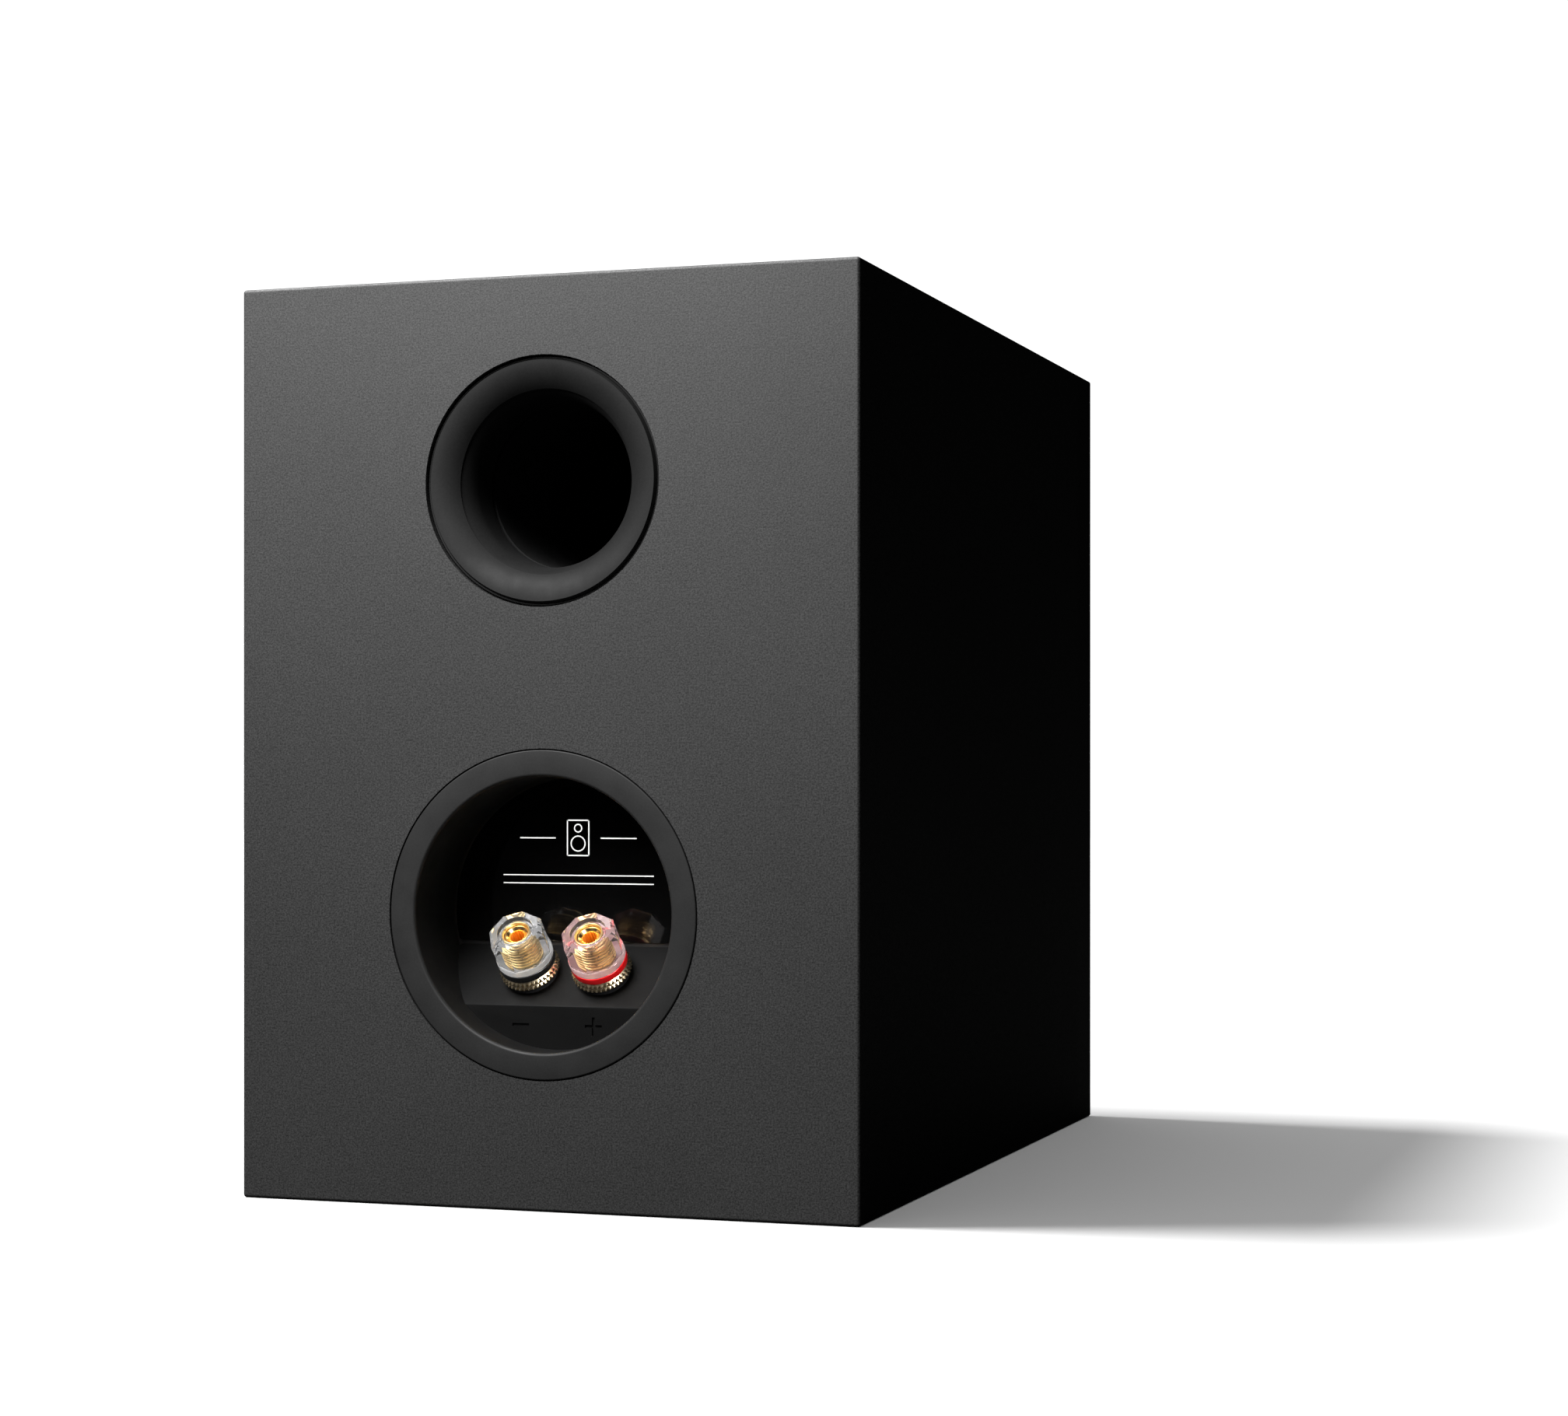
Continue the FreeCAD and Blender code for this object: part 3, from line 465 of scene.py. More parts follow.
cabinet_look = wrapped_board("cabinet_wrap", (0.040, 0.040, 0.040), 0.55)
baffle_look = wrapped_board("baffle_wrap", (0.028, 0.028, 0.028), 0.52)
moulded_look = grained("moulded_black", (0.018, 0.018, 0.018), 0.6, 0.5, 0.006, Specular_IOR_Level=0.25)
cup_look_shaded_inside = grained("moulded_cup_painted_shade_inside", (0.028, 0.028, 0.028), 0.55, 0.5, 0.006)
# The step deep in the cup is a much darker copy of the moulded black: painted shade.
shaded_step_look = grained("moulded_step_painted_shade", (0.0065, 0.0065, 0.0065), 0.6, 0.5, 0.006, Specular_IOR_Level=0.15)
# Painted shade: every surface of the cup deeper than 1 mm below the rear face is darkened to near black.
cup_look_shaded_inside.blend(cup_look_shaded_inside.math("LESS_THAN", cup_look_shaded_inside.axis("Y"), (REAR - 1.0) * MM), (0.007, 0.007, 0.007))
gold_look = metal("gold_plate", (0.83, 0.57, 0.25), 0.2)
# The collar's paler gold is painted light: a brightened copy of the gold plating standing in for its strong
# lighting and highlights.
lit_gold_look = metal("pale_gold_plate", (0.93, 0.76, 0.5), 0.26)
insert_groove_shade_look = metal("insert_plate_groove_shade", (0.93, 0.69, 0.33), 0.3, 2.0)
# Painted shade in the rib grooves: stripes along the post darken the colour at the rib pitch.
along_post = insert_groove_shade_look.math("ADD", insert_groove_shade_look.axis("Y"), insert_groove_shade_look.axis("Z"))
insert_groove_shade_look.shade(insert_groove_shade_look.stripes(along_post, RIB_PITCH * math.sqrt(2)), 0.45, 1.1, 0.0, 1.0)
amber_look = metal("bore_plate", (0.85, 0.45, 0.08), 0.4)
steel_look = metal("zinc_plated_steel", (0.55, 0.56, 0.58), 0.35)
nylon_look = grained("black_nylon", (0.012, 0.012, 0.013), 0.42, 0.4, 0.004)
rubber_look = grained("soft_black_rubber", (0.014, 0.014, 0.015), 0.58, 0.3, 0.008, Sheen_Weight=0.15)
foam_look = grained("closed_cell_foam", (0.05, 0.05, 0.052), 0.85, 0.35, 0.08)
basket_look = grained("powder_coat", (0.02, 0.02, 0.022), 0.48, 0.35, 0.012)
screw_look = grained("black_oxide", (0.016, 0.016, 0.018), 0.38, 0.3, 0.006, Metallic=0.6)
ferrite_look = grained("ground_ferrite", (0.06, 0.06, 0.065), 0.55, 0.6, 0.02)
tag_look = metal("tinned_brass", (0.72, 0.62, 0.42), 0.3)
foil_look = metal("former_foil", (0.75, 0.75, 0.77), 0.3)
copper_look = winding("enamelled_wire", (0.72, 0.3, 0.13), 0.3)
coil_look = winding("crossover_winding", (0.72, 0.3, 0.13), 0.9, "Z")
spider_look = cloth("spider_cloth", (0.5, 0.33, 0.12), 0.5, 0.75, Sheen_Weight=0.2)
dome_look = cloth("coated_silk", (0.016, 0.016, 0.018), 0.22, 0.42, Coat_Weight=0.25, Coat_Roughness=0.35)
paper_board_look = grained("brown_laminate", (0.4, 0.24, 0.11), 0.5, 0.6, 0.01)
circuit_look = grained("circuit_board", (0.02, 0.2, 0.08), 0.35, 0.9, 0.01, Coat_Weight=0.5)
sleeve_look = grained("capacitor_sleeve", (0.5, 0.03, 0.02), 0.25, 0.8, 0.006)
cement_look = grained("resistor_cement", (0.72, 0.71, 0.66), 0.8, 0.35, 0.06)
braid_look = metal("braided_copper", (0.7, 0.42, 0.26), 0.4, 0.15)
red_wire_look = grained("red_insulation", (0.6, 0.02, 0.02), 0.3, 0.9, 0.005)
black_wire_look = grained("black_insulation", (0.012, 0.012, 0.012), 0.3, 0.9, 0.005)
board_look = raw_board()

label_look = Look("gloss_label", (0.004, 0.004, 0.004), 0.12, Specular_IOR_Level=0.3)
label_look.shade(label_look.noise(12, 2), 0.85, 1.15).roughen(label_look.noise(2.5, 4), 0.05, 0.1)
print_look = Look("label_print", (0.88, 0.88, 0.87), 0.6)
print_look.shade(print_look.noise(0.3, 3), 0.85, 1.05)

ring_looks = {}
ring_slots = {"neg": "ring_black", "pos": "ring_red"}
for ring_side, ring_colour in (("neg", (0.008, 0.008, 0.008)), ("pos", (0.55, 0.006, 0.008))):
    ring_look = Look("post_ring_" + ring_side, ring_colour, 0.22, Coat_Weight=0.3)
    ring_look.shade(ring_look.noise(3, 3), 0.9, 1.1).roughen(ring_look.noise(1.5, 3), 0.16, 0.28)
    ring_looks[ring_side] = ring_look

clear_looks = {}
seat_looks = {}
# The plus knob's pink tint is a painted reflection: it stands in for the red ring seen through the clear
# plastic.
for clear_side, clear_colour, seat_colour in (
        ("neg", (0.95, 0.95, 0.96), (0.05, 0.05, 0.05)), ("pos", (0.98, 0.88, 0.88), (0.07, 0.035, 0.035))):
    clear_look = Look("clear_acrylic_" + clear_side, clear_colour, 0.03, Transmission_Weight=0.975, IOR=1.26,
                      Specular_IOR_Level=1.0)
    clear_look.shade(clear_look.noise(5, 2), 0.97, 1.0)
    clear_look.roughen(clear_look.noise(1.0, 4), 0.015, 0.05)
    clear_looks[clear_side] = clear_look
    seat_looks[clear_side] = grained("moulded_seat_" + clear_side, seat_colour, 0.4, 0.8, 0.004)

cone_look = Look("filled_polypropylene", (0.028, 0.028, 0.031), 0.42)
cone_look.shade(cone_look.noise(0.8, 3, 0.7), 0.7, 1.35)
cone_look.shade(cone_look.noise(9, 2), 0.9, 1.1)
cone_look.roughen(cone_look.noise(1.5, 3), 0.34, 0.5).bump(cone_look.noise(0.6, 3), 0.02)

cap_look = grained("dust_cap_satin", (0.02, 0.02, 0.021), 0.34, 0.5, 0.005)

wadding_look = Look("polyester_wadding", (0.74, 0.74, 0.72), 0.95, Sheen_Weight=0.5, Subsurface_Weight=0.1)
wadding_look.shade(wadding_look.noise(2.5, 6, 0.7), 0.78, 1.05)
wadding_look.bump(wadding_look.noise(1.2, 6, 0.75), 0.6)

SLOT_LOOKS = {
    "cabinet_board": cabinet_look, "baffle_board": baffle_look, "raw_board": board_look,
    "moulded_black": moulded_look, "label_gloss": label_look, "soft_black": rubber_look,
    "foam_gasket": foam_look, "gold": gold_look, "brass_tag": tag_look, "nylon_black": nylon_look,
    "clear": clear_looks["neg"], "ring_black": ring_looks["neg"], "ring_red": ring_looks["pos"],
    "basket_coat": basket_look, "cone_fibre": cone_look, "dust_cap": cap_look,
    "former_foil": foil_look, "copper_wire": copper_look, "spider_cloth": spider_look,
    "steel_plate": steel_look, "ferrite": ferrite_look, "screw_black": screw_look,
    "board_paper": paper_board_look, "silk_dome": dome_look, "board_green": circuit_look,
    "capacitor_sleeve": sleeve_look, "resistor_cement": cement_look, "lead_braid": braid_look,
    "wire_red": red_wire_look, "wire_black": black_wire_look, "wadding": wadding_look,
}

for subpart in frame["record"]["subparts"]:
    node = frame["nodes"][subpart["node"]]
    look = coil_look if subpart["node"] == "crossover_coils" else SLOT_LOOKS[subpart["material_slot"]]
    for material_slot in node.material_slots:
        material_slot.material = look.material


# ---------------------------------------------------------------- port and terminal cup

EDGE_ROUND = 0.3
FLANGE_T = 3.0
PORT_RIM_R = 30.0
FLARE_R = 9.7

port_outline = rounded([
    (22.6, 17.0), (22.6, 10.0), (27.0, FLANGE_T), (PORT_RIM_R, FLANGE_T), (PORT_RIM_R, 0.0, EDGE_ROUND)])
port_outline += arc((29.5, FLARE_R), FLARE_R, -90, -137, 14)[1:]
port_outline += arc((30.0, FLARE_R), FLARE_R, -137, -180, 14)
port_outline += [(20.3, 17.0)]
settle(piece("port_ring", lathe(port_outline, 160), rear_axes(PORT_Z), moulded_look),
       "cabinet", "moulded_black", "port_flare")

CUP_R = 33.2
CUP_DEPTH = 24.0
STEP_DEPTH = 10.0
LIP_R = 0.8
STEP_TOP = 48.6

cup_outline = rounded([
    (39.6, FLANGE_T), (39.6, 0.0, EDGE_ROUND), (CUP_R, 0.0, LIP_R), (CUP_R, CUP_DEPTH, 1.0),
    (0.0, CUP_DEPTH), (0.0, 26.5), (35.7, 26.5, 1.0), (35.7, FLANGE_T)], 6)
cup = piece("cup_shell", lathe(cup_outline, 160), rear_axes(CUP_Z), cup_look_shaded_inside)
settle(cup, "cabinet", "moulded_black", "terminal_cup")

# Puts a prism's outline in the YZ plane and draws it out along X.
SIDEWAYS = Matrix.Rotation(math.radians(90), 4, "Y") @ Matrix.Rotation(math.radians(90), 4, "Z")
step_outline = rounded([
    (REAR - 25.0, 30.0), (REAR - STEP_DEPTH, 30.0), (REAR - STEP_DEPTH, STEP_TOP, 0.5),
    (REAR - 25.0, STEP_TOP + 25.0 - STEP_DEPTH)])
step = piece("cup_step", prism(step_outline, -40, 40), SIDEWAYS, shaded_step_look)
bore = piece("bore_tool", lathe([(0, -5), (CUP_R + 0.1, -5), (CUP_R + 0.1, 25.0), (0, 25.0)], 160),
             rear_axes(CUP_Z))
carve(step, bore, "INTERSECT")
MARK_Z = 43.9
for mark_x, half_x, half_z in ((9.5, 2.2, 0.35), (-9.5, 2.2, 0.35), (-9.5, 0.35, 2.2)):
    mark_face = [(mark_x - half_x, MARK_Z - half_z), (mark_x + half_x, MARK_Z - half_z),
                 (mark_x + half_x, MARK_Z + half_z), (mark_x - half_x, MARK_Z + half_z)]
    upright = Matrix.Translation((0, (REAR - STEP_DEPTH) * MM, 0)) @ Matrix.Rotation(math.radians(90), 4, "X")
    carve(step, piece("mark_tool", prism(mark_face, -1, 0.4), upright))
settle(step, "cabinet", "moulded_black")

LABEL_R = 32.8
LABEL_LOW = STEP_TOP + CUP_DEPTH - STEP_DEPTH + 1.0 - CUP_Z
LABEL_T = 0.4
low_angle = math.degrees(math.asin(LABEL_LOW / LABEL_R))
label_outline = arc((0, 0), LABEL_R, low_angle, 180 - low_angle, 90)
label_outline = rounded([(*label_outline[0], 1.0)] + label_outline[3:-3] + [(*label_outline[-1], 1.0)])


def label_axes(lift=0.0):
    """Label plane: X to the right as seen from behind, Y up, Z out of the rear face."""
    turn = Matrix(((-1, 0, 0, 0), (0, 0, 1, 0), (0, 1, 0, 0), (0, 0, 0, 1)))
    return Matrix.Translation((0, (REAR - CUP_DEPTH + lift) * MM, CUP_Z * MM)) @ turn


settle(piece("label_plate", prism(label_outline, 0, LABEL_T), label_axes(), label_look),
       "cabinet", "label_gloss", "terminal_label")


PRINT_T = 0.02


def bar(x0, x1, y0, y1):
    return prism([(x0, y0), (x1, y0), (x1, y1), (x0, y1)], 0, PRINT_T)


def hoop(x, y, outer, inner):
    return moved(lathe([(inner, 0), (outer, 0), (outer, PRINT_T), (inner, PRINT_T)], 48), x, y)


def frame_bars(x0, x1, y0, y1, t):
    return joined(bar(x0, x1, y0, y0 + t), bar(x0, x1, y1 - t, y1),
                  bar(x0, x0 + t, y0, y1), bar(x1 - t, x1, y0, y1))


print_marks = joined(
    frame_bars(-3.0, 3.0, 13.5, 22.5, 0.3), hoop(0, 16.6, 2.0, 1.7), hoop(0, 20.4, 1.1, 0.8),
    bar(-15.5, -6.0, 17.8, 18.1), bar(6.0, 15.5, 17.8, 18.1),
    bar(-20.0, 20.0, 8.6, 8.85), bar(-20.0, 20.0, 6.6, 6.85))
settle(piece("label_marks", print_marks, label_axes(LABEL_T), print_look), "cabinet", "label_gloss")


# ---------------------------------------------------------------- binding posts

KNURLS = 40
COLLAR_LOW, COLLAR_TOP = 1.2, 4.1
KNURL_MARGIN = 0.15
KNOB_FLANGE_TOP = 8.0


def knurled(r, s, a):
    """Two rows of small pyramids round the collar's rim."""
    if r < 6.9:
        return r
    rows = (s - COLLAR_LOW - KNURL_MARGIN) / 1.3
    if not 0 < rows < 2:
        return r - 0.25
    row = int(rows)
    along = 1 - abs(2 * (rows - row) - 1)
    across = abs(2 * ((a / TAU * KNURLS + 0.5 * row) % 1) - 1)
    return r - 0.25 + 0.6 * max(0.0, min(along, 1 - across))


def octagon(r, s, a):
    """Knob section: round at the flange and the bore, eight flats between them."""
    if s < KNOB_FLANGE_TOP or r < 5.0:
        return r
    flat = (a % (TAU / 8)) - TAU / 16
    return r * math.cos(TAU / 16) / math.cos(flat)


THREAD_PITCH = 1.0


def threaded(r, s, a):
    """Stud: a helical thread outside the bore, with two flats above the collar."""
    if r < 2.9:
        return r
    phase = (s / THREAD_PITCH - a / TAU) % 1
    thread = r - 0.42 * (1 - abs(2 * phase - 1))
    if s > COLLAR_TOP and abs(math.cos(a)) > 1e-6:
        thread = min(thread, 2.7 / abs(math.cos(a)))
    return thread


def fluted(r, s, a):
    """Bore wall: sixteen shallow spring leaves."""
    return r - 0.1 * (1 + math.cos(16 * a)) if r < 2.04 else r


stud_outline = [(0.0, -12.0), (2.4, -12.0)] + [(3.0, -11.6 + 0.125 * i) for i in range(205)]
stud_outline += [(2.85, 14.2), (2.65, 14.2), (2.05, 13.6), (2.05, -5.8), (0.0, -5.8)]
insulator_outline = rounded([(3.05, -2.4), (4.95, -2.4), (4.95, 0), (6.6, 0), (6.6, 1.2, 0.3), (3.05, 1.2)])
collar_side = [(7.2, COLLAR_LOW + KNURL_MARGIN + 0.13 * i) for i in range(21)]
collar_outline = [(3.05, COLLAR_LOW), (6.8, COLLAR_LOW)] + collar_side
collar_outline += [(6.8, COLLAR_TOP), (3.05, COLLAR_TOP)]
ring_outline = rounded([(6.5, 4.2), (7.05, 4.2, 0.25), (7.05, 6.15, 0.2), (6.5, 6.15)])
seat_outline = rounded([(3.4, 6.2), (6.8, 6.2), (6.8, 6.35, 0.05), (3.4, 6.35)])
bore_outline = [(2.05, -5.7), (2.05, 13.5), (2.0, 13.55), (1.95, 13.5), (1.95, -5.7)]
knob_outline = rounded([
    (3.2, 6.15), (7.1, 6.15, 0.3), (7.1, KNOB_FLANGE_TOP, 0.4), (6.6, KNOB_FLANGE_TOP),
    (7.0, KNOB_FLANGE_TOP + 0.1), (7.0, 14.7, 0.1),
    (6.2, 15.7, 0.12), (4.4, 15.7, 0.2), (4.4, 14.4, 0.1), (3.2, 14.4)])
INSERT_R = 3.5
GROOVE_R = 3.15
insert_outline = [(3.05, 6.2), (3.3, 6.2), (3.4, 6.3)]
for rib in range(7):
    rib_low = 7.2 + rib * RIB_PITCH
    insert_outline += [(INSERT_R, rib_low), (GROOVE_R, rib_low + 0.12),
                       (GROOVE_R, rib_low + 0.42), (INSERT_R, rib_low + 0.54)]
insert_outline += rounded([(3.4, 14.0), (3.6, 14.4), (3.6, 14.95, 0.12), (3.3, 14.95, 0.08), (3.05, 14.6)])

for side in ("neg", "pos"):
    axes = post_axes(side)
    stud = piece("stud_" + side, lathe(stud_outline, 64, threaded), axes, gold_look, 50)
    hole = piece("hole_tool", lathe([(0, -5), (1.2, -5), (1.2, 5), (0, 5)], 32),
                 axes @ Matrix.Translation((0, 0, 6.3 * MM)) @ Matrix.Rotation(math.radians(90), 4, "Y"))
    carve(stud, hole)
    settle(stud, "cabinet", "gold", "post_studs")
    settle(piece("bore_" + side, lathe(bore_outline, 192, fluted), axes, amber_look, 40), "cabinet", "gold")
    settle(piece("foot_" + side, lathe(insulator_outline, 64), axes, nylon_look),
           "cabinet", "nylon_black", "post_insulators")
    settle(piece("collar_" + side, lathe(collar_outline, 320, knurled), axes, lit_gold_look, 25),
           "cabinet", "gold", "post_collars")
    settle(piece("ring_" + side, lathe(ring_outline, 64), axes, ring_looks[side]),
           "knob_" + side, ring_slots[side], "post_ring_" + side)
    settle(piece("seat_" + side, lathe(seat_outline, 64), axes, seat_looks[side]), "knob_" + side, "clear")
    settle(piece("knob_cap_" + side, lathe(knob_outline, 128, octagon), axes, clear_looks[side], 20),
           "knob_" + side, "clear", "post_knob_" + side)
    settle(piece("insert_" + side, lathe(insert_outline, 64), axes, insert_groove_shade_look),
           "knob_" + side, "gold", "post_insert_" + side)


# ---------------------------------------------------------------- woofer and tweeter

woofer_axes = front_axes(WOOFER_Z)
tweeter_axes = front_axes(TWEETER_Z)

CONE_NECK = (13.1, 25.0)
cone_front = arc_through((44.0, 5.0), (29.0, 12.6), CONE_NECK, 40)
cone_back = arc_through((CONE_NECK[0], CONE_NECK[1] + 1.4), (29.5, 13.5), (44.5, 5.9), 40)
cone_outline = [(47.2, 5.9), (47.2, 5.0)] + cone_front + cone_back
settle(piece("cone", lathe(cone_outline, 128), woofer_axes, cone_look, 45),
       "woofer_piston", "cone_fibre", "woofer_cone")

cap_low, cap_high = box_mm("woofer_dust_cap")
CAP_R = 0.5 * (cap_high[0] - cap_low[0])
CAP_TOP = cap_low[1] - FRONT
CAP_FOOT = cap_high[1] - FRONT
cap_shell = arc_through((0.0, CAP_TOP), (0.55 * CAP_R, CAP_TOP + 1.75), (CAP_R - 0.5, CAP_FOOT - 0.35), 24)
cap_inner = arc_through((CAP_R - 0.9, CAP_FOOT), (0.55 * CAP_R, CAP_TOP + 2.25), (0.0, CAP_TOP + 0.5), 24)
cap_rim = [(CAP_R - 0.2, CAP_FOOT - 0.4), (CAP_R, CAP_FOOT - 0.15), (CAP_R, CAP_FOOT)]
cap_outline = cap_shell + cap_rim + cap_inner
settle(piece("dust_cap", lathe(cap_outline, 96), woofer_axes, cap_look, 45),
       "woofer_piston", "dust_cap", "woofer_dust_cap")

trim_outline = rounded([(55.0, 4.4), (55.0, 0.4, 0.5), (59.8, 0.4, 0.5), (59.8, 4.4)], 6)
settle(piece("trim_ring", lathe(trim_outline, 160), woofer_axes, rubber_look),
       "cabinet", "soft_black", "woofer_trim_ring")


def suspension(name, outline, axes, look, node, inner, outer):
    """Flexible ring, held by the cabinet as a whole; a weight from 0 at its outer edge to 1 at its inner edge
    is worked out for each vertex but not used.
    """
    item = piece(name, lathe(outline, 160), axes, look, 60)
    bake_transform(item)
    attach(item, "cabinet")
    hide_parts(node)
    back = axes.inverted()
    for vertex in item.data.vertices:
        local = back @ vertex.co
        t = (outer - math.hypot(local.x, local.y) / MM) / (outer - inner)
        t = min(max(t, 0.0), 1.0)


ROLL_CENTRE = (50.4, 4.4)
roll_outline = [(59.8, 5.0), (59.8, 4.4), (54.6, 4.4)] + arc(ROLL_CENTRE, 3.6, 0, -180, 24)
roll_outline += [(44.2, 4.4), (44.2, 5.0), (47.3, 5.0)] + arc(ROLL_CENTRE, 3.0, -180, 0, 24) + [(53.5, 5.0)]
suspension("surround", roll_outline, woofer_axes, rubber_look,
           "woofer_surround", 47.0, 53.8)

SPIDER_FRONT, SPIDER_BACK = 27.4, 28.0
WAVES_FROM, WAVES_TO = 15.0, 34.4
HALF_WAVE = 2.425
WAVE_STEPS = 112
spider_front, spider_back = [], []
for i in range(WAVE_STEPS + 1):
    spider_r = WAVES_FROM + i * (WAVES_TO - WAVES_FROM) / WAVE_STEPS
    lift = 1.2 * math.sin((spider_r - WAVES_FROM) / HALF_WAVE * math.pi)
    spider_front.append((spider_r, SPIDER_FRONT - lift))
    spider_back.append((spider_r, SPIDER_BACK - lift))
spider_outline = [(13.12, SPIDER_FRONT)] + spider_front + [(41.0, SPIDER_FRONT), (41.0, SPIDER_BACK)]
spider_outline += spider_back[::-1] + [(13.12, SPIDER_BACK)]
suspension("spider", spider_outline, woofer_axes, spider_look,
           "woofer_spider", 14.0, 34.0)

DOME_ROLL_CENTRE = (14.35, 4.8)
dome_roll = [(17.4, 5.1), (17.4, 4.8)] + arc(DOME_ROLL_CENTRE, 1.0, 0, -180, 16)
dome_roll += [(13.25, 4.8), (13.25, 5.1)] + arc(DOME_ROLL_CENTRE, 0.7, -180, 0, 16) + [(15.1, 5.1)]
suspension("dome_roll", dome_roll, tweeter_axes, dome_look,
           "tweeter_surround", 13.4, 15.3)


# ---------------------------------------------------------------- inside

def padded_block(name, low, high, body, seed):
    """Wadding pad: a crowned block with an uneven, fluffy surface."""
    data = bmesh.new()
    bmesh.ops.create_cube(data, size=2.0)
    bmesh.ops.subdivide_edges(data, edges=data.edges, cuts=15, use_grid_fill=True)
    rng = np.random.default_rng(seed)
    phases = rng.uniform(0, TAU, (6, 3))
    sizes = [(h - l) / 2 for l, h in zip(low, high)]
    middle = [(h + l) / 2 for l, h in zip(low, high)]
    thin = sizes.index(min(sizes))
    for vertex in data.verts:
        unit = vertex.co.copy()
        others = [i for i in range(3) if i != thin]
        edge = max(abs(unit[i]) for i in others)
        crown = 1.0 - 0.38 * edge ** 6
        bulge = 0.0
        for wave in phases:
            bulge += 0.012 * math.sin(5 * unit[others[0]] + wave[0]) * math.sin(7 * unit[others[1]] + wave[1])
        for i in others:
            unit[i] *= 0.97 - 0.03 * abs(unit[thin]) ** 4
        unit[thin] *= 0.93 * crown + bulge
        vertex.co = [(m + s * u) * MM for m, s, u in zip(middle, sizes, unit)]
    mesh = bpy.data.meshes.new(name)
    data.to_mesh(mesh)
    data.free()
    finish_mesh(mesh, 80)
    item = bpy.data.objects.new(name, mesh)
    bpy.context.collection.objects.link(item)
    mesh.materials.append(wadding_look.material)
    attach(item, body)
    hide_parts("wadding_pads")


padded_block("wadding_right", (56, 14, 62), (67.4, 98, 196), "cabinet", 3)
padded_block("wadding_left", (-67.4, 14, 62), (-56, 98, 196), "cabinet", 4)
padded_block("wadding_top", (-52, 14, 201), (52, 98, 212.4), "cabinet", 5)

LEAD_STRANDS = 5


def spline_points(route, resolution=24):
    """Points along a smooth curve through space, without its bevel."""
    curve = bpy.data.curves.new("lead_path", "CURVE")
    curve.dimensions = "3D"
    spline = curve.splines.new("NURBS")
    spline.points.add(len(route) - 1)
    for point, place in zip(spline.points, route):
        point.co = (*[c * MM for c in place], 1.0)
    spline.order_u = 3
    spline.use_endpoint_u = True
    spline.resolution_u = resolution
    holder = bpy.data.objects.new("lead_path", curve)
    bpy.context.collection.objects.link(holder)
    bpy.context.view_layer.update()
    mesh = bpy.data.meshes.new_from_object(holder.evaluated_get(bpy.context.evaluated_depsgraph_get()))
    points = [v.co / MM for v in mesh.vertices]
    bpy.data.objects.remove(holder)
    bpy.data.curves.remove(curve)
    bpy.data.meshes.remove(mesh)
    return points


def strand_tube(points, radius, around_r, phase, twist, sides=8):
    """One strand laid helically round a path."""
    verts, rows = [], []
    travelled = 0.0
    side_axis = Vector((1, 0, 0))
    for i, point in enumerate(points):
        ahead = points[min(i + 1, len(points) - 1)] - points[max(i - 1, 0)]
        forward = ahead.normalized()
        across = (side_axis - forward * side_axis.dot(forward)).normalized()
        up = forward.cross(across)
        if i:
            travelled += (point - points[i - 1]).length
        a = phase + travelled * twist
        centre = point + (across * math.cos(a) + up * math.sin(a)) * around_r
        rows.append(len(verts))
        for k in range(sides):
            b = TAU * k / sides
            verts.append(tuple(centre + (across * math.cos(b) + up * math.sin(b)) * radius))
    faces = [list(range(sides)), [rows[-1] + k for k in range(sides)][::-1]]
    for low, high in zip(rows, rows[1:]):
        for k in range(sides):
            j = (k + 1) % sides
            faces.append([low + k, low + j, high + j, high + k])
    return verts, faces


lead_shapes = []
for x in (-4.5, 4.5):
    route = [(x, 26.9, 45.15), (x, 21, 47.5), (x * 0.95, 16, 40.5), (x * 0.9, 14.6, 30.4)]
    path = spline_points([(px, FRONT + depth, WOOFER_Z + r) for px, depth, r in route])
    for strand in range(LEAD_STRANDS):
        lead_shapes.append(strand_tube(path, 0.15, 0.24, TAU * strand / LEAD_STRANDS, 1.6))
leads = piece("tinsel_leads", joined(*lead_shapes), Matrix.Identity(4), braid_look, 80)
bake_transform(leads)
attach(leads, "cabinet")
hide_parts("woofer_leads")


# ---------------------------------------------------------------- stage and light

floor_mesh = bpy.data.meshes.new("floor")
floor_mesh.from_pydata([(-4, -4, 0), (4, -4, 0), (4, 4, 0), (-4, 4, 0)], [], [(0, 1, 2, 3)])
floor = bpy.data.objects.new("floor", floor_mesh)
bpy.context.collection.objects.link(floor)
floor_look = Look("floor_white", (0.85, 0.85, 0.85), 1.0)
floor_look.shader.inputs["Specular IOR Level"].default_value = 0.0
dim = floor_look.add("ShaderNodeBsdfDiffuse")
dim.inputs["Color"].default_value = (0.015, 0.015, 0.015, 1)
seen = floor_look.add("ShaderNodeMixShader")
floor_look.links.new(floor_look.add("ShaderNodeLightPath").outputs["Is Camera Ray"], seen.inputs["Fac"])
floor_look.links.new(dim.outputs[0], seen.inputs[1])
floor_look.links.new(floor_look.shader.outputs[0], seen.inputs[2])
floor_look.links.new(seen.outputs[0], floor_look.nodes["Material Output"].inputs["Surface"])
floor_mesh.materials.append(floor_look.material)

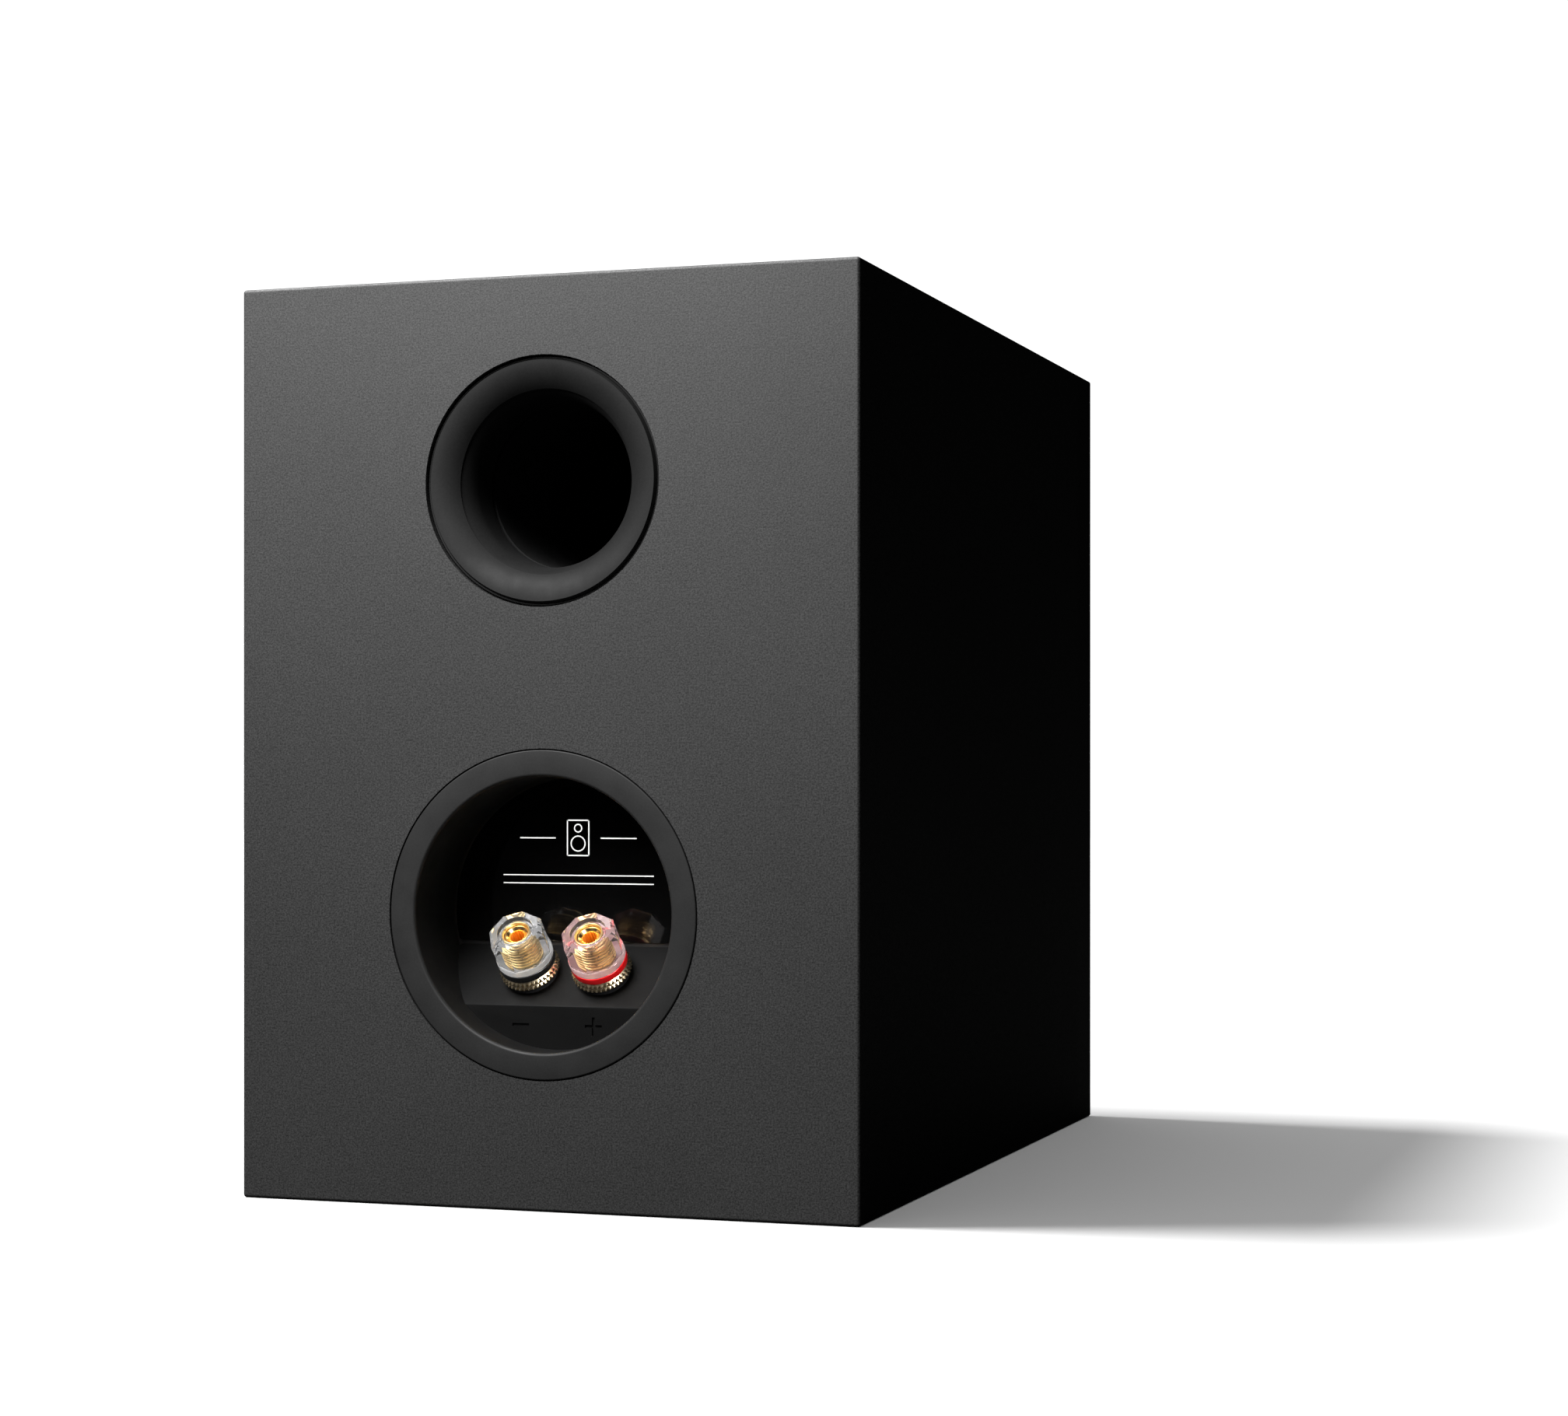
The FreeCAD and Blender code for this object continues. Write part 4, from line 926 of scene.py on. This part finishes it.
stage_group = bpy.data.collections.new("stage_only")
object_group = bpy.data.collections.new("object_only")
open_group = bpy.data.collections.new("outside_recesses")
post_group = bpy.data.collections.new("posts_only")
mark_group = bpy.data.collections.new("marks_only")
mark_group.objects.link(bpy.data.objects["label_marks"])
POSTS = ("stud_", "bore_", "foot_", "collar_", "ring_", "seat_", "knob_cap_", "insert_")
RECESSED = POSTS + ("port_ring", "cup_", "label_")
stage_group.objects.link(floor)
open_group.objects.link(floor)
for item in bpy.context.scene.objects:
    if item.type == "MESH" and item is not floor:
        object_group.objects.link(item)
        if not item.name.startswith(RECESSED):
            open_group.objects.link(item)
        if item.name.startswith(POSTS) or item.name.startswith("clamp_washer"):
            post_group.objects.link(item)
        if item.name.startswith("knob_cap_"):
            item.visible_shadow = False


def light(name, kind, place, target, strength, receivers, **settings):
    data = bpy.data.lights.new(name, kind)
    data.energy = strength
    for key, value in settings.items():
        setattr(data, key, value)
    lamp = bpy.data.objects.new(name, data)
    lamp.location = place
    lamp.rotation_euler = (Vector(target) - Vector(place)).to_track_quat("-Z", "Y").to_euler()
    bpy.context.collection.objects.link(lamp)
    lamp.light_linking.receiver_collection = receivers


KEY_ELEVATION = math.radians(56.5)
KEY_AZIMUTH = math.radians(7)
key_from = Vector((math.cos(KEY_ELEVATION) * math.cos(KEY_AZIMUTH),
                   math.cos(KEY_ELEVATION) * math.sin(KEY_AZIMUTH), math.sin(KEY_ELEVATION)))
light("key", "SUN", key_from, (0, 0, 0), 4.8, receivers=open_group, angle=math.radians(19))
light("floor_fill", "SUN", (0, 0, 3), (0, 0, 0), 1.46, receivers=stage_group, angle=math.radians(120))
light("rear_softbox", "AREA", (0.12, 0.4, 0.46), (0.0, 0.12, 0.09), 3.6, receivers=object_group,
      shape="SQUARE", size=0.3)
light("post_light_left", "AREA", (0.25, 0.5, 0.4), (0.0, 0.11, 0.065), 5.0, receivers=post_group,
      shape="SQUARE", size=0.3)
light("post_light_right", "AREA", (-0.35, 0.45, 0.25), (0.0, 0.11, 0.065), 4.0, receivers=post_group,
      shape="RECTANGLE", size=0.12, size_y=0.5)
light("label_light", "AREA", (-0.12, 0.6, 0.2), (0.0, 0.1, 0.08), 4.0, receivers=mark_group,
      shape="SQUARE", size=0.2)
light("front_fill", "AREA", (0.65, -1.2, 0.12), (0, 0, 0.12), 24.0, receivers=object_group,
      shape="RECTANGLE", size=0.8, size_y=0.18)
light("side_fill", "AREA", (-1.2, 0.1, 0.25), (0, 0, 0.1), 0.02, receivers=object_group,
      shape="SQUARE", size=1.0)

world = bpy.data.worlds.new("world")
world.use_nodes = True
bpy.context.scene.world = world
world_nodes, world_links = world.node_tree.nodes, world.node_tree.links
world_nodes["Background"].inputs["Color"].default_value = (0.0, 0.0, 0.0, 1)
white = world_nodes.new("ShaderNodeBackground")
white.inputs["Color"].default_value = (1, 1, 1, 1)
white.inputs["Strength"].default_value = 1.2
chooser = world_nodes.new("ShaderNodeMixShader")
ray = world_nodes.new("ShaderNodeLightPath")
either = world_nodes.new("ShaderNodeMath")
either.operation = "MAXIMUM"
world_links.new(ray.outputs["Is Camera Ray"], either.inputs[0])
world_links.new(ray.outputs["Is Transmission Ray"], either.inputs[1])
world_links.new(either.outputs[0], chooser.inputs["Fac"])
world_links.new(world_nodes["Background"].outputs[0], chooser.inputs[1])
world_links.new(white.outputs[0], chooser.inputs[2])
world_links.new(chooser.outputs[0], world_nodes["World Output"].inputs["Surface"])
bpy.context.scene.view_settings.view_transform = "Standard"
